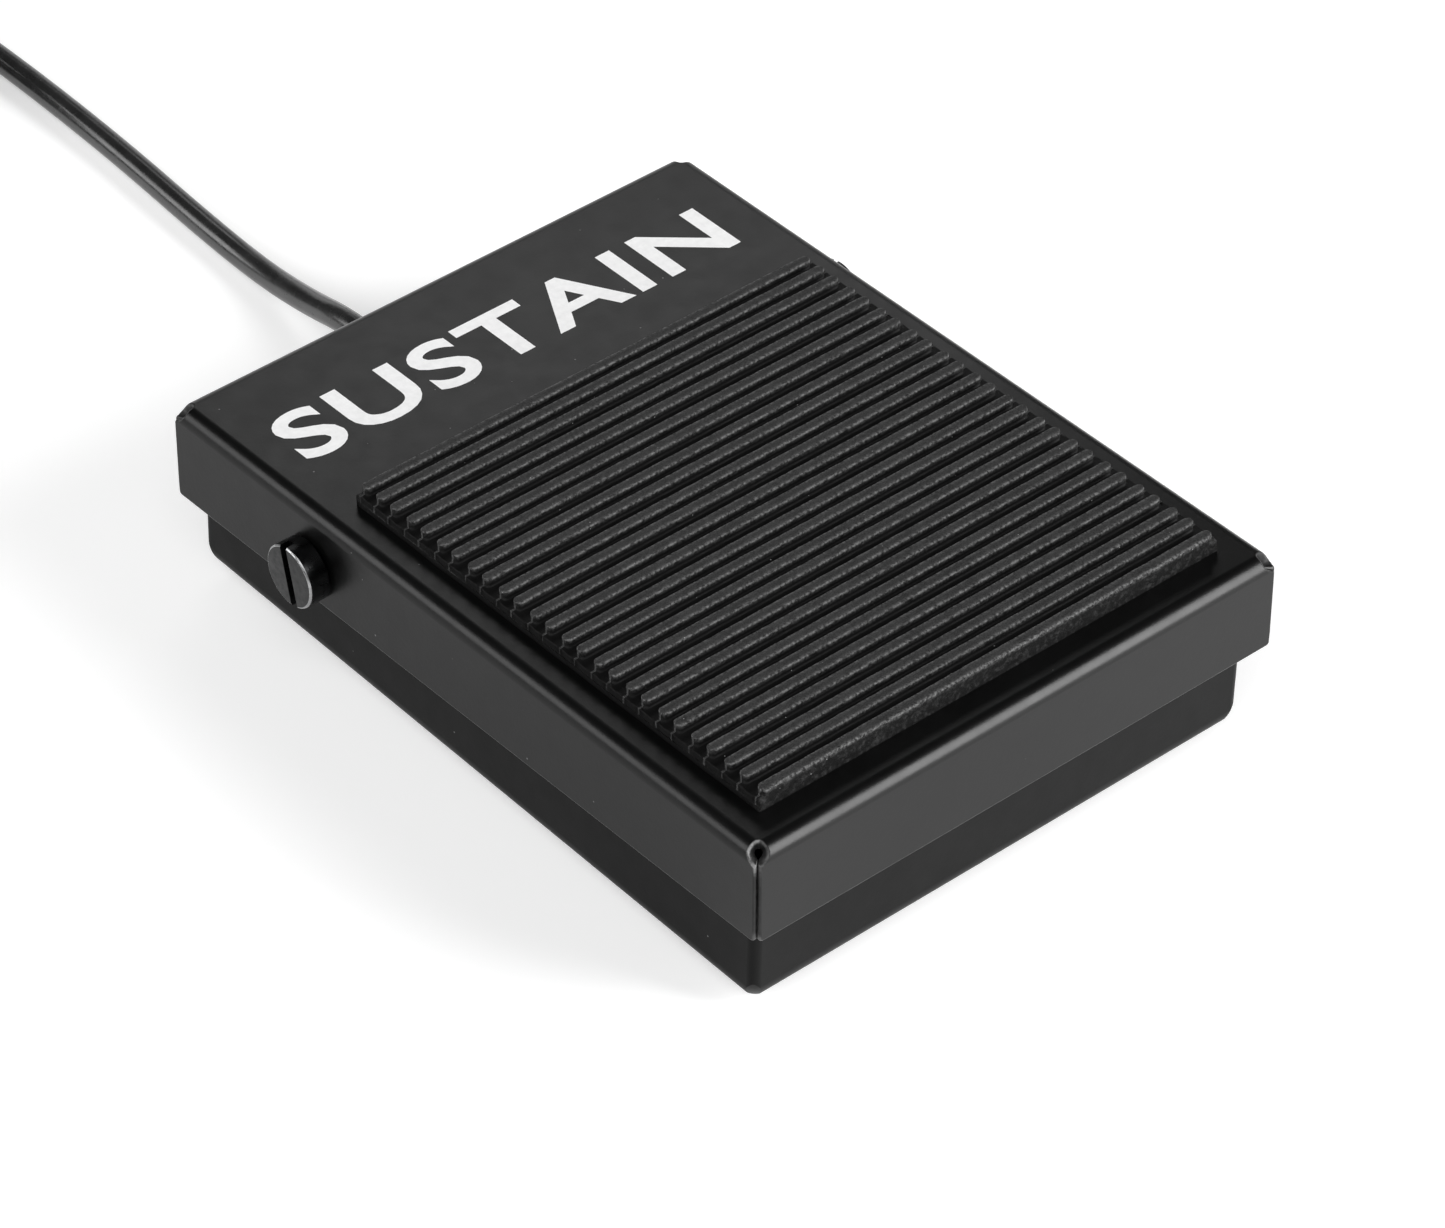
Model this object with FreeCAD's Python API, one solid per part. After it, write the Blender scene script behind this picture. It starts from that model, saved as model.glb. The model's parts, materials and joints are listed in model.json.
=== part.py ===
"""Sustain pedal: a folded steel foot plate hinged on a folded steel tray, with its spring, switch and lead.

Millimetres. +Z is up and z = 0 is the floor. The toe end points to -Y and the lead leaves to +Y.
The foot plate is drawn in its own frame, with the hinge axis at the origin, and then tipped to its rest angle.
"""
import FreeCAD, Part
import math
import os

from FreeCAD import Vector

# ---------------------------------------------------------------- driving dimensions
SHEET = 1.2                 # steel of the foot plate and of the tray

COVER_WIDTH = 74.0
COVER_LENGTH = 98.0
COVER_HEIGHT = 12.15        # top face to the lower edge of its flanges
COVER_BEND = 1.8            # outer radius of the four bends
COVER_CORNER = 1.0          # rounding of the upright corners
SEAM_WIDTH = 0.45           # slit where two flanges meet
RELIEF_RADIUS = 1.3         # bend relief hole in each top corner
RELIEF_INSET = 0.8          # its centre, in from both outer faces
RELIEF_DEPTH = 1.5          # its centre, below the top face
FLANGE_CORNER = 1.3         # rounding of the lower ends of the flanges

HINGE_Y = 24.57             # hinge axis
HINGE_Z = 16.0
HINGE_BELOW_TOP = 7.7       # hinge axis below the top face
HINGE_TO_REAR = 24.4        # hinge axis to the rear face
REST_TILT = 1.5             # degrees, toe up
TRAVEL = 5.0                # degrees from rest to the stop

TRAY_WIDTH = 70.0
TRAY_LENGTH = 93.3
TRAY_BEND = 2.6             # outer radius of the bottom bends
TRAY_CORNER = 1.1
TRAY_BALL_RADIUS = 6.0      # rounding of the lower corners
TRAY_BALL_INSET = 4.45      # its centre, in from both outer faces
TRAY_BALL_Z = 5.74
TRAY_WALL_TOP = 16.5
TRAY_EAR_TOP = 21.0         # the ears that carry the hinge screws
TRAY_EAR_HALF = 7.5
TRAY_LIP_TOP = 20.2         # folded lip of the rear wall, under the rest pad
TRAY_LIP_DEPTH = 6.0
TRAY_LIP_HALF = 27.0

MAT_THICKNESS = 1.2
MAT_WIDTH = 61.0
MAT_LENGTH = 84.0
MAT_CORNER = 4.0
MAT_GROOVE_PITCH = 5.0
MAT_GROOVE_WIDTH = 1.6
MAT_GROOVE_DEPTH = 0.5

REST_PAD_HALF = 22.0        # rubber strip on the lip
REST_PAD_THICKNESS = 1.4
REST_PAD_SETBACK = 1.9      # from the outer face of the rear wall

PAD_WIDTH = 64.7
PAD_REAR = -2.7             # rear edge, from the hinge axis
PAD_BASE = 1.6              # solid layer under the ribs
PAD_HEIGHT = 2.6
RIB_WIDTH = 1.33
RIB_COUNT = 26
RIB_STEP_SHORT = 2.39       # the rib steps alternate short and long
RIB_STEP_LONG = 2.80
RIB_END_INSET = 0.5

SCREW_HEAD_RADIUS = 3.9
SCREW_HEAD_PROUD = 3.0      # outer face of the head beyond the flange
SCREW_HEAD_GAP = 0.35
SCREW_CHAMFER = 0.35
SCREW_SLOT_WIDTH = 1.1
SCREW_SLOT_DEPTH = 1.3
SCREW_SLOT_TILT = 14.0
SHOULDER_RADIUS = 2.5
SHOULDER_CLEARANCE = 0.05
SPACER_RADIUS = 4.4
SPACER_THICKNESS = 0.6
THREAD_PAST_NUT = 0.9
THREAD_RADIUS = 2.0
NUT_ACROSS_FLATS = 7.0
NUT_THICKNESS = 3.2

SPRING_Y = -20.0
SPRING_RADIUS = 5.0         # centre of the wire
SPRING_WIRE = 0.65
SPRING_TURNS = 6.0
SPRING_PEG_RADIUS = 3.8
SPRING_DISC_RADIUS = 7.0
CUP_DISC = 1.0              # thickness of the upper disc, and length of its peg
CUP_PEG = 3.0
SEAT_DISC = 1.2             # the same of the lower one
SEAT_PEG = 4.3

FLOOR_SCREW_RADIUS = 1.5    # screws into the tray floor
BUMPER_BOTTOM_RADIUS = 5.2
BUMPER_TOP_RADIUS = 4.2
BUMPER_BORE = 2.9           # widened bore that takes the screw's head
BUMPER_SCREW_HEIGHT = 9.0
BUMPER_AIR = 0.3            # left under the foot plate at full travel

SWITCH_X = 16.0
SWITCH_Y = 8.0
SWITCH_LENGTH = 20.0
SWITCH_WIDTH = 6.5
SWITCH_BOTTOM = 8.4
SWITCH_SPLIT = 11.4
SWITCH_TOP = 16.4
SWITCH_HOLE_Z = 9.9
SWITCH_HOLE_HALF = 4.75
SWITCH_CAVITY_HALF_X = 2.35
SWITCH_CAVITY_HALF_Y = 8.6
SWITCH_CAVITY_TOP = 15.2
SWITCH_BOSS_RADIUS = 0.55   # the two bosses that the lever hangs on
SWITCH_BOSS_REACH = 0.7
SWITCH_SCREW_RADIUS = 1.0
SWITCH_NUT_THICKNESS = 1.6
TAG_HALF_WIDTH = 1.6        # solder tags
TAG_HALF_THICKNESS = 0.25
TAG_PITCH = 7.4
TAG_DROP = 3.9              # below the switch
TAG_HOLE_DROP = 2.4
TAG_HOLE_RADIUS = 0.65
BLADE_BOTTOM = 13.0
BLADE_THICKNESS = 0.2
PLUNGER_Y = 13.0
PLUNGER_RADIUS = 1.1
PLUNGER_FOOT = 13.9
PLUNGER_COLLAR_RADIUS = 1.7
PLUNGER_COLLAR = 0.8
LEVER_Y = 17.0              # lever hinge
LEVER_Z = 15.6
LEVER_TILT = 8.5            # degrees, tip up
LEVER_LENGTH = 17.0
LEVER_THICKNESS = 0.3
LEVER_RISE = 1.35           # underside of the strip above the lever hinge
LEVER_EAR_GAP = 0.2         # each side of the housing
BUTTON_Y = 1.5
BUTTON_RADIUS = 2.0
BUTTON_AIR = 0.55           # above the tip of the lever
BRACKET_FOOT = 9.5
BRACKET_HALF_LENGTH = 9.0
BRACKET_TOP = 13.4
BRACKET_SHEET = 1.0
CLAMP_LEFT = -3.8
CLAMP_RIGHT = 9.6
CLAMP_FRONT = 31.0
CLAMP_REAR = 37.0
CLAMP_TOP = 9.4
CLAMP_SCREW = (6.2, 34.0)

CORD_RADIUS = 1.6
WIRE_RADIUS = 0.6           # the two insulated wires inside
EXIT_Z = 6.6
BOOT_END_Y = 58.6
BOOT_NECK_RADIUS = 2.9      # strain relief: in the wall, inside it, outside it, and at both ends of the taper
BOOT_INNER_RADIUS = 3.1
BOOT_FLANGE_RADIUS = 3.7
BOOT_FLANGE = 1.4
BOOT_TAPER = (3.1, 2.15)
COIL_X = -20.4
COIL_Y = 163.0
COIL_MEAN_RADIUS = 18.0
COIL_LAYERS = 4
COIL_EDGE = 1.5             # rounding of the coil's section
TIE_THICKNESS = 1.0
TIE_WIDTH = 10.0
TIE_ANGLE = 290.0           # degrees round the coil, from +X
PLUG_BODY_RADIUS = 6.0
PLUG_BODY_EDGE = 1.2
PLUG_GROOVE_WIDTH = 1.6
PLUG_GROOVE_DEPTH = 0.6
PLUG_GROOVES = (20.0, 24.0, 28.0)
PLUG_CONTACT_RADIUS = 3.175
PLUG_COLLAR_RADIUS = 4.6
PLUG_BOOT_END = 13.0        # lengths along the plug, from the end of the lead
PLUG_BODY_END = 37.0
PLUG_COLLAR_END = 39.2
PLUG_SLEEVE_END = 61.0
PLUG_RING_END = 62.3
PLUG_RING_RADIUS = 2.9

TOP_Z = HINGE_BELOW_TOP                      # plate frame heights
UNDER_Z = TOP_Z - SHEET
FLANGE_Z = TOP_Z - COVER_HEIGHT
COVER_FRONT = HINGE_TO_REAR - COVER_LENGTH
FLOOR_Z = MAT_THICKNESS + SHEET              # upper side of the tray floor
TRAY_END = TRAY_LENGTH / 2                   # outer face of the rear wall
COIL_SIDE = COIL_LAYERS * 2 * CORD_RADIUS    # width and height of the coil's section
COIL_INNER = COIL_MEAN_RADIUS - COIL_SIDE / 2
COIL_OUTER = COIL_MEAN_RADIUS + COIL_SIDE / 2

X_AXIS = Vector(1, 0, 0)
Y_AXIS = Vector(0, 1, 0)
Z_AXIS = Vector(0, 0, 1)


# ---------------------------------------------------------------- helpers
def box(x0, x1, y0, y1, z0, z1):
    """Solid block between two corners."""
    return Part.makeBox(x1 - x0, y1 - y0, z1 - z0, Vector(x0, y0, z0))


def rod(radius, start, end):
    """Solid cylinder from one point to another."""
    along = Vector(end) - Vector(start)
    return Part.makeCylinder(radius, along.Length, Vector(start), along)


def cone(radius_a, radius_b, start, end):
    """Solid cone frustum from one point to another."""
    along = Vector(end) - Vector(start)
    return Part.makeCone(radius_a, radius_b, along.Length, Vector(start), along)


def rounded_outline(u0, u1, v0, v1, radii):
    """Closed outline in (u, v) with one radius per corner, from the lower left one, anticlockwise."""
    corners = [(u0, v0, 1, 1), (u1, v0, -1, 1), (u1, v1, -1, -1), (u0, v1, 1, -1)]
    ends = []
    for index, (u, v, inward_u, inward_v) in enumerate(corners):
        r = radii[index]
        along_u = Vector(u + inward_u * r, v, 0)
        along_v = Vector(u, v + inward_v * r, 0)
        bulge = r * (1.0 - math.sqrt(0.5))
        middle = Vector(u + inward_u * bulge, v + inward_v * bulge, 0)
        pair = (along_v, along_u) if index % 2 == 0 else (along_u, along_v)
        ends.append((pair[0], middle, pair[1], r))
    edges = []
    for index, (arrive, middle, leave, r) in enumerate(ends):
        if r > 0:
            edges.append(Part.Arc(arrive, middle, leave).toShape())
        following = ends[(index + 1) % 4][0]
        if (following - leave).Length > 1e-6:
            edges.append(Part.LineSegment(leave, following).toShape())
    return Part.Wire(edges)


def prism(wire, height):
    """Outline in the XY plane, raised by a height."""
    return Part.Face(wire).extrude(Vector(0, 0, height))


def along_y(wire, y0, y1):
    """Outline given in (x, z), extruded from y0 to y1."""
    solid = prism(wire, y1 - y0)
    solid.rotate(Vector(0, 0, 0), X_AXIS, 90)
    solid.translate(Vector(0, y1, 0))
    return solid


def along_x(wire, x0, x1):
    """Outline given in (y, z), extruded from x0 to x1."""
    solid = prism(wire, x1 - x0)
    solid.rotate(Vector(0, 0, 0), X_AXIS, 90)
    solid.rotate(Vector(0, 0, 0), Z_AXIS, 90)
    solid.translate(Vector(x0, 0, 0))
    return solid


def folded_shell(half_width, y0, y1, z0, z1, bend, corner, bend_on_top):
    """Solid outer shape of a folded tray or lid: bends on the top or bottom edges, rounded upright corners."""
    radii = (0, 0, bend, bend) if bend_on_top else (bend, bend, 0, 0)
    across = along_y(rounded_outline(-half_width, half_width, z0, z1, radii), y0, y1)
    lengthwise = along_x(rounded_outline(y0, y1, z0, z1, radii), -half_width, half_width)
    plan = prism(rounded_outline(-half_width, half_width, y0, y1, (corner,) * 4), z1 - z0)
    plan.translate(Vector(0, 0, z0))
    return across.common(lengthwise).common(plan)


def tip_to_rest(shape):
    """Move a shape from the foot plate's frame to its place at rest."""
    moved = shape.copy()
    moved.rotate(Vector(0, 0, 0), X_AXIS, -REST_TILT)
    moved.translate(Vector(0, HINGE_Y, HINGE_Z))
    return moved


def hexagon(across_flats, height):
    """Hexagonal prism, axis +Z, base at the origin."""
    radius = across_flats / math.sqrt(3.0)
    points = [Vector(radius * math.cos(math.radians(60 * k)), radius * math.sin(math.radians(60 * k)), 0)
              for k in range(7)]
    return Part.Face(Part.makePolygon(points)).extrude(Vector(0, 0, height))


def pan_screw(head_radius, head_height, shank_radius, shank_length):
    """Pan head screw, axis +Z, head on top, underside of the head at the origin, with a cross recess."""
    head = Part.makeCylinder(head_radius, head_height)
    head = head.makeFillet(head_height * 0.45, [head.Edges[0]])
    shank = rod(shank_radius, (0, 0, 0), (0, 0, -shank_length))
    tip = shank.Edges[2] if shank.Edges[2].BoundBox.ZMin < -shank_length + 0.01 else shank.Edges[0]
    shank = shank.makeChamfer(shank_radius * 0.25, [tip])
    screw = head.fuse(shank)
    arm = head_radius * 0.55
    blade = head_radius * 0.11
    depth = head_height * 0.5
    for half_x, half_y in ((arm, blade), (blade, arm)):
        screw = screw.cut(box(-half_x, half_x, -half_y, half_y, head_height - depth, head_height + 1))
    return screw.removeSplitter()


def route_wire(points):
    """Straight runs joined by tangent arcs, each arc as large as its two runs allow."""
    points = [Vector(*p) for p in points]
    edges = []
    radii = []
    previous = points[0]
    for before, here, after in zip(points, points[1:], points[2:]):
        back = before - here
        ahead = after - here
        reach = 0.45 * min(back.Length, ahead.Length)
        turn = math.pi - back.getAngle(ahead)
        radii.append(reach / math.tan(turn / 2.0))
        start = here + Vector(back).normalize() * reach
        end = here + Vector(ahead).normalize() * reach
        inward = (start + end) * 0.5 - here
        sag = radii[-1] / math.cos(turn / 2.0) - radii[-1]
        middle = here + Vector(inward).normalize() * sag
        edges.append(Part.LineSegment(previous, start).toShape())
        edges.append(Part.Arc(start, middle, end).toShape())
        previous = end
    edges.append(Part.LineSegment(previous, points[-1]).toShape())
    return Part.Wire(edges), radii


def routed_tube(name, points, radius):
    """Round cord or wire along a route, with its radii and its volume check printed."""
    wire, radii = route_wire(points)
    start = Vector(*points[0])
    circle = Part.Wire([Part.Circle(start, Vector(*points[1]) - start, radius).toShape()])
    tube = wire.makePipeShell([circle], True, False)
    expected = math.pi * radius ** 2 * wire.Length
    print(name, "length %.1f" % wire.Length, "volume ratio %.4f" % (tube.Volume / expected),
          "radii", [round(r, 1) for r in radii])
    return tube


def save(name, shape):
    """Write one sub-part."""
    shape.exportStep("parts/%s.step" % name)
    print("%-18s solids %d  volume %.1f  valid %s" % (name, len(shape.Solids), shape.Volume, shape.isValid()))


# ---------------------------------------------------------------- foot plate
def pedal_cover():
    """Folded lid: flat top, four flanges, bend relief holes, corner seams and the two hinge holes."""
    half = COVER_WIDTH / 2
    outer = folded_shell(half, COVER_FRONT, HINGE_TO_REAR, FLANGE_Z, TOP_Z, COVER_BEND, COVER_CORNER, True)
    inner = folded_shell(half - SHEET, COVER_FRONT + SHEET, HINGE_TO_REAR - SHEET, FLANGE_Z, UNDER_Z,
                         COVER_BEND - SHEET, 0.3, True)
    cover = outer.cut(inner)
    for side in (-1, 1):
        for y_edge, inward in ((COVER_FRONT, 1), (HINGE_TO_REAR, -1)):
            corner_x = side * half
            relief_z = TOP_Z - RELIEF_DEPTH
            centre = Vector(corner_x - side * RELIEF_INSET, y_edge + inward * RELIEF_INSET, relief_z)
            cover = cover.cut(Part.makeSphere(RELIEF_RADIUS, centre))
            seam = box(-3.0, 3.0, -SEAM_WIDTH / 2, SEAM_WIDTH / 2, FLANGE_Z - 1, relief_z)
            seam.rotate(Vector(0, 0, 0), Z_AXIS, 45 if side * inward < 0 else -45)
            seam.translate(Vector(corner_x, y_edge, 0))
            cover = cover.cut(seam)
            cover = cover.cut(flange_end(corner_x, -side, y_edge, inward))
        bore = rod(SHOULDER_RADIUS + SHOULDER_CLEARANCE, (side * (half + 1), 0, 0), (side * (half - 3), 0, 0))
        cover = cover.cut(bore)
    return cover.removeSplitter()


def flange_end(corner_x, inward_x, corner_y, inward_y):
    """What is cut away to round the lower ends of the two flanges that meet in one corner."""
    r = FLANGE_CORNER
    centre_z = FLANGE_Z + r
    end_x = corner_x + inward_x * r
    end_y = corner_y + inward_y * r
    deep = SHEET + 0.2
    low = FLANGE_Z - 0.1
    across = box(min(corner_x, end_x), max(corner_x, end_x), min(corner_y, corner_y + inward_y * deep),
                 max(corner_y, corner_y + inward_y * deep), low, centre_z)
    across = across.cut(rod(r, (end_x, corner_y - 5, centre_z), (end_x, corner_y + 5, centre_z)))
    lengthwise = box(min(corner_x, corner_x + inward_x * deep), max(corner_x, corner_x + inward_x * deep),
                     min(corner_y, end_y), max(corner_y, end_y), low, centre_z)
    lengthwise = lengthwise.cut(rod(r, (corner_x - 5, end_y, centre_z), (corner_x + 5, end_y, centre_z)))
    return across.fuse(lengthwise)


def tread_pad():
    """Rubber tread: a solid layer with ribs across it."""
    half = PAD_WIDTH / 2
    rib_front = PAD_REAR - RIB_WIDTH
    ribs = []
    for index in range(RIB_COUNT):
        if index > 0:
            rib_front -= RIB_STEP_SHORT if index < 3 or index % 2 == 0 else RIB_STEP_LONG
        ribs.append(box(-half + RIB_END_INSET, half - RIB_END_INSET, rib_front, rib_front + RIB_WIDTH,
                        TOP_Z + PAD_BASE, TOP_Z + PAD_HEIGHT))
    layer = box(-half, half, rib_front, PAD_REAR, TOP_Z, TOP_Z + PAD_BASE)
    print("tread length %.2f" % (PAD_REAR - rib_front))
    return layer.fuse(ribs).removeSplitter()


def spring_cup():
    """Pressed disc with a peg, welded under the foot plate, that centres the top of the spring."""
    y = SPRING_Y - HINGE_Y
    face = UNDER_Z - CUP_DISC
    disc = rod(SPRING_DISC_RADIUS, (0, y, UNDER_Z), (0, y, face))
    peg = cone(SPRING_PEG_RADIUS, SPRING_PEG_RADIUS - 0.6, (0, y, face), (0, y, face - CUP_PEG))
    return disc.fuse(peg).removeSplitter()


def actuator_button():
    """Nylon button under the foot plate, over the tip of the switch lever."""
    y = BUTTON_Y - HINGE_Y
    tip_z = LEVER_Z + (LEVER_RISE + LEVER_THICKNESS) / math.cos(math.radians(LEVER_TILT))
    tip_z += math.tan(math.radians(LEVER_TILT)) * (LEVER_Y - BUTTON_Y) + BUTTON_AIR
    lowest = (tip_z - HINGE_Z) - math.sin(math.radians(REST_TILT)) * abs(y)
    plate = rod(2 * BUTTON_RADIUS, (SWITCH_X, y, UNDER_Z), (SWITCH_X, y, UNDER_Z - 0.8))
    post = rod(BUTTON_RADIUS, (SWITCH_X, y, UNDER_Z - 0.8), (SWITCH_X, y, lowest))
    bottom = [edge for edge in post.Edges if edge.BoundBox.ZMax < lowest + 0.01]
    post = post.makeFillet(0.7, bottom[:1])
    return plate.fuse(post).removeSplitter()


# ---------------------------------------------------------------- tray and what is fixed in it
def base_tray():
    """Folded tray: floor, four walls, two hinge ears, a lipped rear wall and its drilled holes."""
    half = TRAY_WIDTH / 2
    end = TRAY_END
    outer = folded_shell(half, -end, end, MAT_THICKNESS, TRAY_EAR_TOP, TRAY_BEND, TRAY_CORNER, False)
    inner = folded_shell(half - SHEET, -end + SHEET, end - SHEET, FLOOR_Z, TRAY_EAR_TOP + 1, TRAY_BEND - SHEET,
                         0.3, False)
    tray = outer.cut(inner)
    for side in (-1, 1):
        for y_side in (-1, 1):
            tray = tray.cut(lower_corner(side, y_side))
    above = TRAY_EAR_TOP + 1
    ear_front = HINGE_Y - TRAY_EAR_HALF
    ear_rear = HINGE_Y + TRAY_EAR_HALF
    tray = tray.cut(box(-half - 1, half + 1, -end - 1, ear_front, TRAY_WALL_TOP, above))
    tray = tray.cut(box(-half - 1, half + 1, ear_rear, end + 1, TRAY_WALL_TOP, above))
    tray = tray.fuse(rear_lip())
    for side in (-1, 1):
        ear_hole = rod(THREAD_RADIUS, (side * (half + 1), HINGE_Y, HINGE_Z),
                       (side * (half - 3), HINGE_Y, HINGE_Z))
        tray = tray.cut(ear_hole)
        for y_end in (ear_front, ear_rear):
            tray = tray.cut(ear_corner(side, y_end))
    for x, y in SCREWS_IN_FLOOR:
        tray = tray.cut(rod(FLOOR_SCREW_RADIUS, (x, y, 0), (x, y, FLOOR_Z + 1)))
    tray = tray.cut(rod(BOOT_NECK_RADIUS, (0, end - 3, EXIT_Z), (0, end + 1, EXIT_Z)))
    return tray.removeSplitter()


def lower_corner(side, y_side):
    """What is cut away to round a lower corner of the tray."""
    x0, y0 = side * TRAY_WIDTH / 2, y_side * TRAY_END
    x1, y1 = x0 - side * TRAY_BALL_INSET, y0 - y_side * TRAY_BALL_INSET
    block = box(min(x0 + side, x1), max(x0 + side, x1), min(y0 + y_side, y1), max(y0 + y_side, y1),
                0, TRAY_BALL_Z)
    return block.cut(Part.makeSphere(TRAY_BALL_RADIUS, Vector(x1, y1, TRAY_BALL_Z)))


def ear_corner(side, y_end):
    """What is cut away to round the upper corner of a hinge ear."""
    r = 4.0
    inward = 1 if y_end < HINGE_Y else -1
    x0 = side * TRAY_WIDTH / 2
    centre_y = y_end + inward * r
    centre_z = TRAY_EAR_TOP - r
    block = box(min(x0 - side * 3, x0 + side), max(x0 - side * 3, x0 + side), min(y_end, centre_y),
                max(y_end, centre_y), centre_z, TRAY_EAR_TOP + 1)
    return block.cut(rod(r, (x0 - side * 5, centre_y, centre_z), (x0 + side * 5, centre_y, centre_z)))


def rear_lip():
    """Middle of the rear wall, drawn up higher and folded inward under the foot plate's heel."""
    end = TRAY_END
    bend = COVER_BEND
    outline = rounded_outline(end - TRAY_LIP_DEPTH, end, TRAY_WALL_TOP - 2, TRAY_LIP_TOP, (0, 0, bend, 0))
    inside = rounded_outline(end - TRAY_LIP_DEPTH - 1, end - SHEET, TRAY_WALL_TOP - 3, TRAY_LIP_TOP - SHEET,
                             (0, 0, bend - SHEET, 0))
    solid = along_x(outline, -TRAY_LIP_HALF, TRAY_LIP_HALF)
    return solid.cut(along_x(inside, -TRAY_LIP_HALF - 1, TRAY_LIP_HALF + 1))


def base_mat():
    """Rubber anti-slip mat under the tray, with grooves across its lower side."""
    radii = (MAT_CORNER,) * 4
    outline = rounded_outline(-MAT_WIDTH / 2, MAT_WIDTH / 2, -MAT_LENGTH / 2, MAT_LENGTH / 2, radii)
    mat = prism(outline, MAT_THICKNESS)
    grooves = int(MAT_LENGTH / MAT_GROOVE_PITCH) - 1
    for index in range(grooves):
        y = (index - (grooves - 1) / 2.0) * MAT_GROOVE_PITCH
        mat = mat.cut(box(-MAT_WIDTH, MAT_WIDTH, y - MAT_GROOVE_WIDTH / 2, y + MAT_GROOVE_WIDTH / 2,
                          -1, MAT_GROOVE_DEPTH))
    return mat


def rest_stop_pad():
    """Rubber strip on the rear lip: the heel of the foot plate rests on it."""
    return box(-REST_PAD_HALF, REST_PAD_HALF, TRAY_END - TRAY_LIP_DEPTH + 0.4, TRAY_END - REST_PAD_SETBACK,
               TRAY_LIP_TOP, TRAY_LIP_TOP + REST_PAD_THICKNESS)


def pivot_screw(side):
    """Slotted cheese head shoulder screw: the foot plate turns on its shoulder."""
    face = COVER_WIDTH / 2 + SCREW_HEAD_PROUD
    under = COVER_WIDTH / 2 + SCREW_HEAD_GAP
    ear = TRAY_WIDTH / 2
    head = Part.makeCylinder(SCREW_HEAD_RADIUS, face - under, Vector(under, 0, 0), X_AXIS)
    rim = [edge for edge in head.Edges if edge.BoundBox.XMin > face - 0.01]
    head = head.makeChamfer(SCREW_CHAMFER, rim[:1])
    slot = box(face - SCREW_SLOT_DEPTH, face + 1, -SCREW_SLOT_WIDTH / 2, SCREW_SLOT_WIDTH / 2, -5, 5)
    slot.rotate(Vector(0, 0, 0), X_AXIS, -SCREW_SLOT_TILT)
    shoulder = rod(SHOULDER_RADIUS, (ear, 0, 0), (under, 0, 0))
    thread = rod(THREAD_RADIUS, (ear, 0, 0), (ear - SHEET - NUT_THICKNESS - THREAD_PAST_NUT, 0, 0))
    screw = head.cut(slot).fuse([shoulder, thread]).removeSplitter()
    return place_on_hinge(screw, side)


def pivot_spacer(side):
    """Nylon washer on the shoulder, between the tray's ear and the foot plate's flange."""
    ear = TRAY_WIDTH / 2
    ring = rod(SPACER_RADIUS, (ear, 0, 0), (ear + SPACER_THICKNESS, 0, 0))
    return place_on_hinge(ring.cut(rod(SHOULDER_RADIUS, (ear - 1, 0, 0), (ear + 2, 0, 0))), side)


def pivot_nut(side):
    """Hexagon nut on the inner side of the tray's ear."""
    inner = TRAY_WIDTH / 2 - SHEET
    nut = hexagon(NUT_ACROSS_FLATS, NUT_THICKNESS)
    nut = nut.cut(Part.makeCylinder(THREAD_RADIUS, NUT_THICKNESS + 2, Vector(0, 0, -1)))
    nut.rotate(Vector(0, 0, 0), Y_AXIS, 90)
    nut.translate(Vector(inner - NUT_THICKNESS, 0, 0))
    return place_on_hinge(nut, side)


def place_on_hinge(shape, side):
    """Put a piece drawn on +X around the origin onto the hinge axis, on the right (1) or left (-1) side."""
    placed = shape.copy()
    if side < 0:
        placed = placed.mirror(Vector(0, 0, 0), X_AXIS)
    placed.translate(Vector(0, HINGE_Y, HINGE_Z))
    return placed


def spring_seat():
    """Nylon disc with a peg, on the tray floor."""
    face = FLOOR_Z + SEAT_DISC
    disc = rod(SPRING_DISC_RADIUS, (0, SPRING_Y, FLOOR_Z), (0, SPRING_Y, face))
    peg = cone(SPRING_PEG_RADIUS, SPRING_PEG_RADIUS - 0.8, (0, SPRING_Y, face), (0, SPRING_Y, face + SEAT_PEG))
    return disc.fuse(peg).removeSplitter()


def return_spring():
    """Compression spring of round wire between the seat and the cup."""
    low = FLOOR_Z + SEAT_DISC + SPRING_WIRE + 0.05
    cup_face = HINGE_Z + (UNDER_Z - CUP_DISC) + math.sin(math.radians(REST_TILT)) * (HINGE_Y - SPRING_Y)
    high = cup_face - SPRING_WIRE - 0.25
    height = high - low
    helix = Part.makeHelix(height / SPRING_TURNS, height, SPRING_RADIUS)
    helix.translate(Vector(0, SPRING_Y, low))
    start = Vector(SPRING_RADIUS, SPRING_Y, low)
    section = Part.Wire([Part.Circle(start, Y_AXIS, SPRING_WIRE).toShape()])
    return Part.Wire(helix).makePipeShell([section], True, True)


def stop_bumper(x, y):
    """Rubber post, screwed to the tray floor through its middle, that the toe end lands on."""
    post = cone(BUMPER_BOTTOM_RADIUS, BUMPER_TOP_RADIUS, (x, y, FLOOR_Z), (x, y, BUMPER_TOP))
    post = post.cut(rod(FLOOR_SCREW_RADIUS, (x, y, FLOOR_Z - 1), (x, y, BUMPER_TOP + 1)))
    return post.cut(rod(BUMPER_BORE, (x, y, BUMPER_SCREW_SEAT), (x, y, BUMPER_TOP + 1)))


def bumper_screw(x, y):
    """Pan head screw sunk in a bumper."""
    return floor_screw(x, y, BUMPER_SCREW_SEAT)


def floor_screw(x, y, seat_z):
    """Pan head screw from its seat down into the tray floor, flush with the floor's lower side."""
    screw = pan_screw(2.7, 1.8, FLOOR_SCREW_RADIUS, seat_z - MAT_THICKNESS - 0.05)
    screw.translate(Vector(x, y, seat_z))
    return screw


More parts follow.
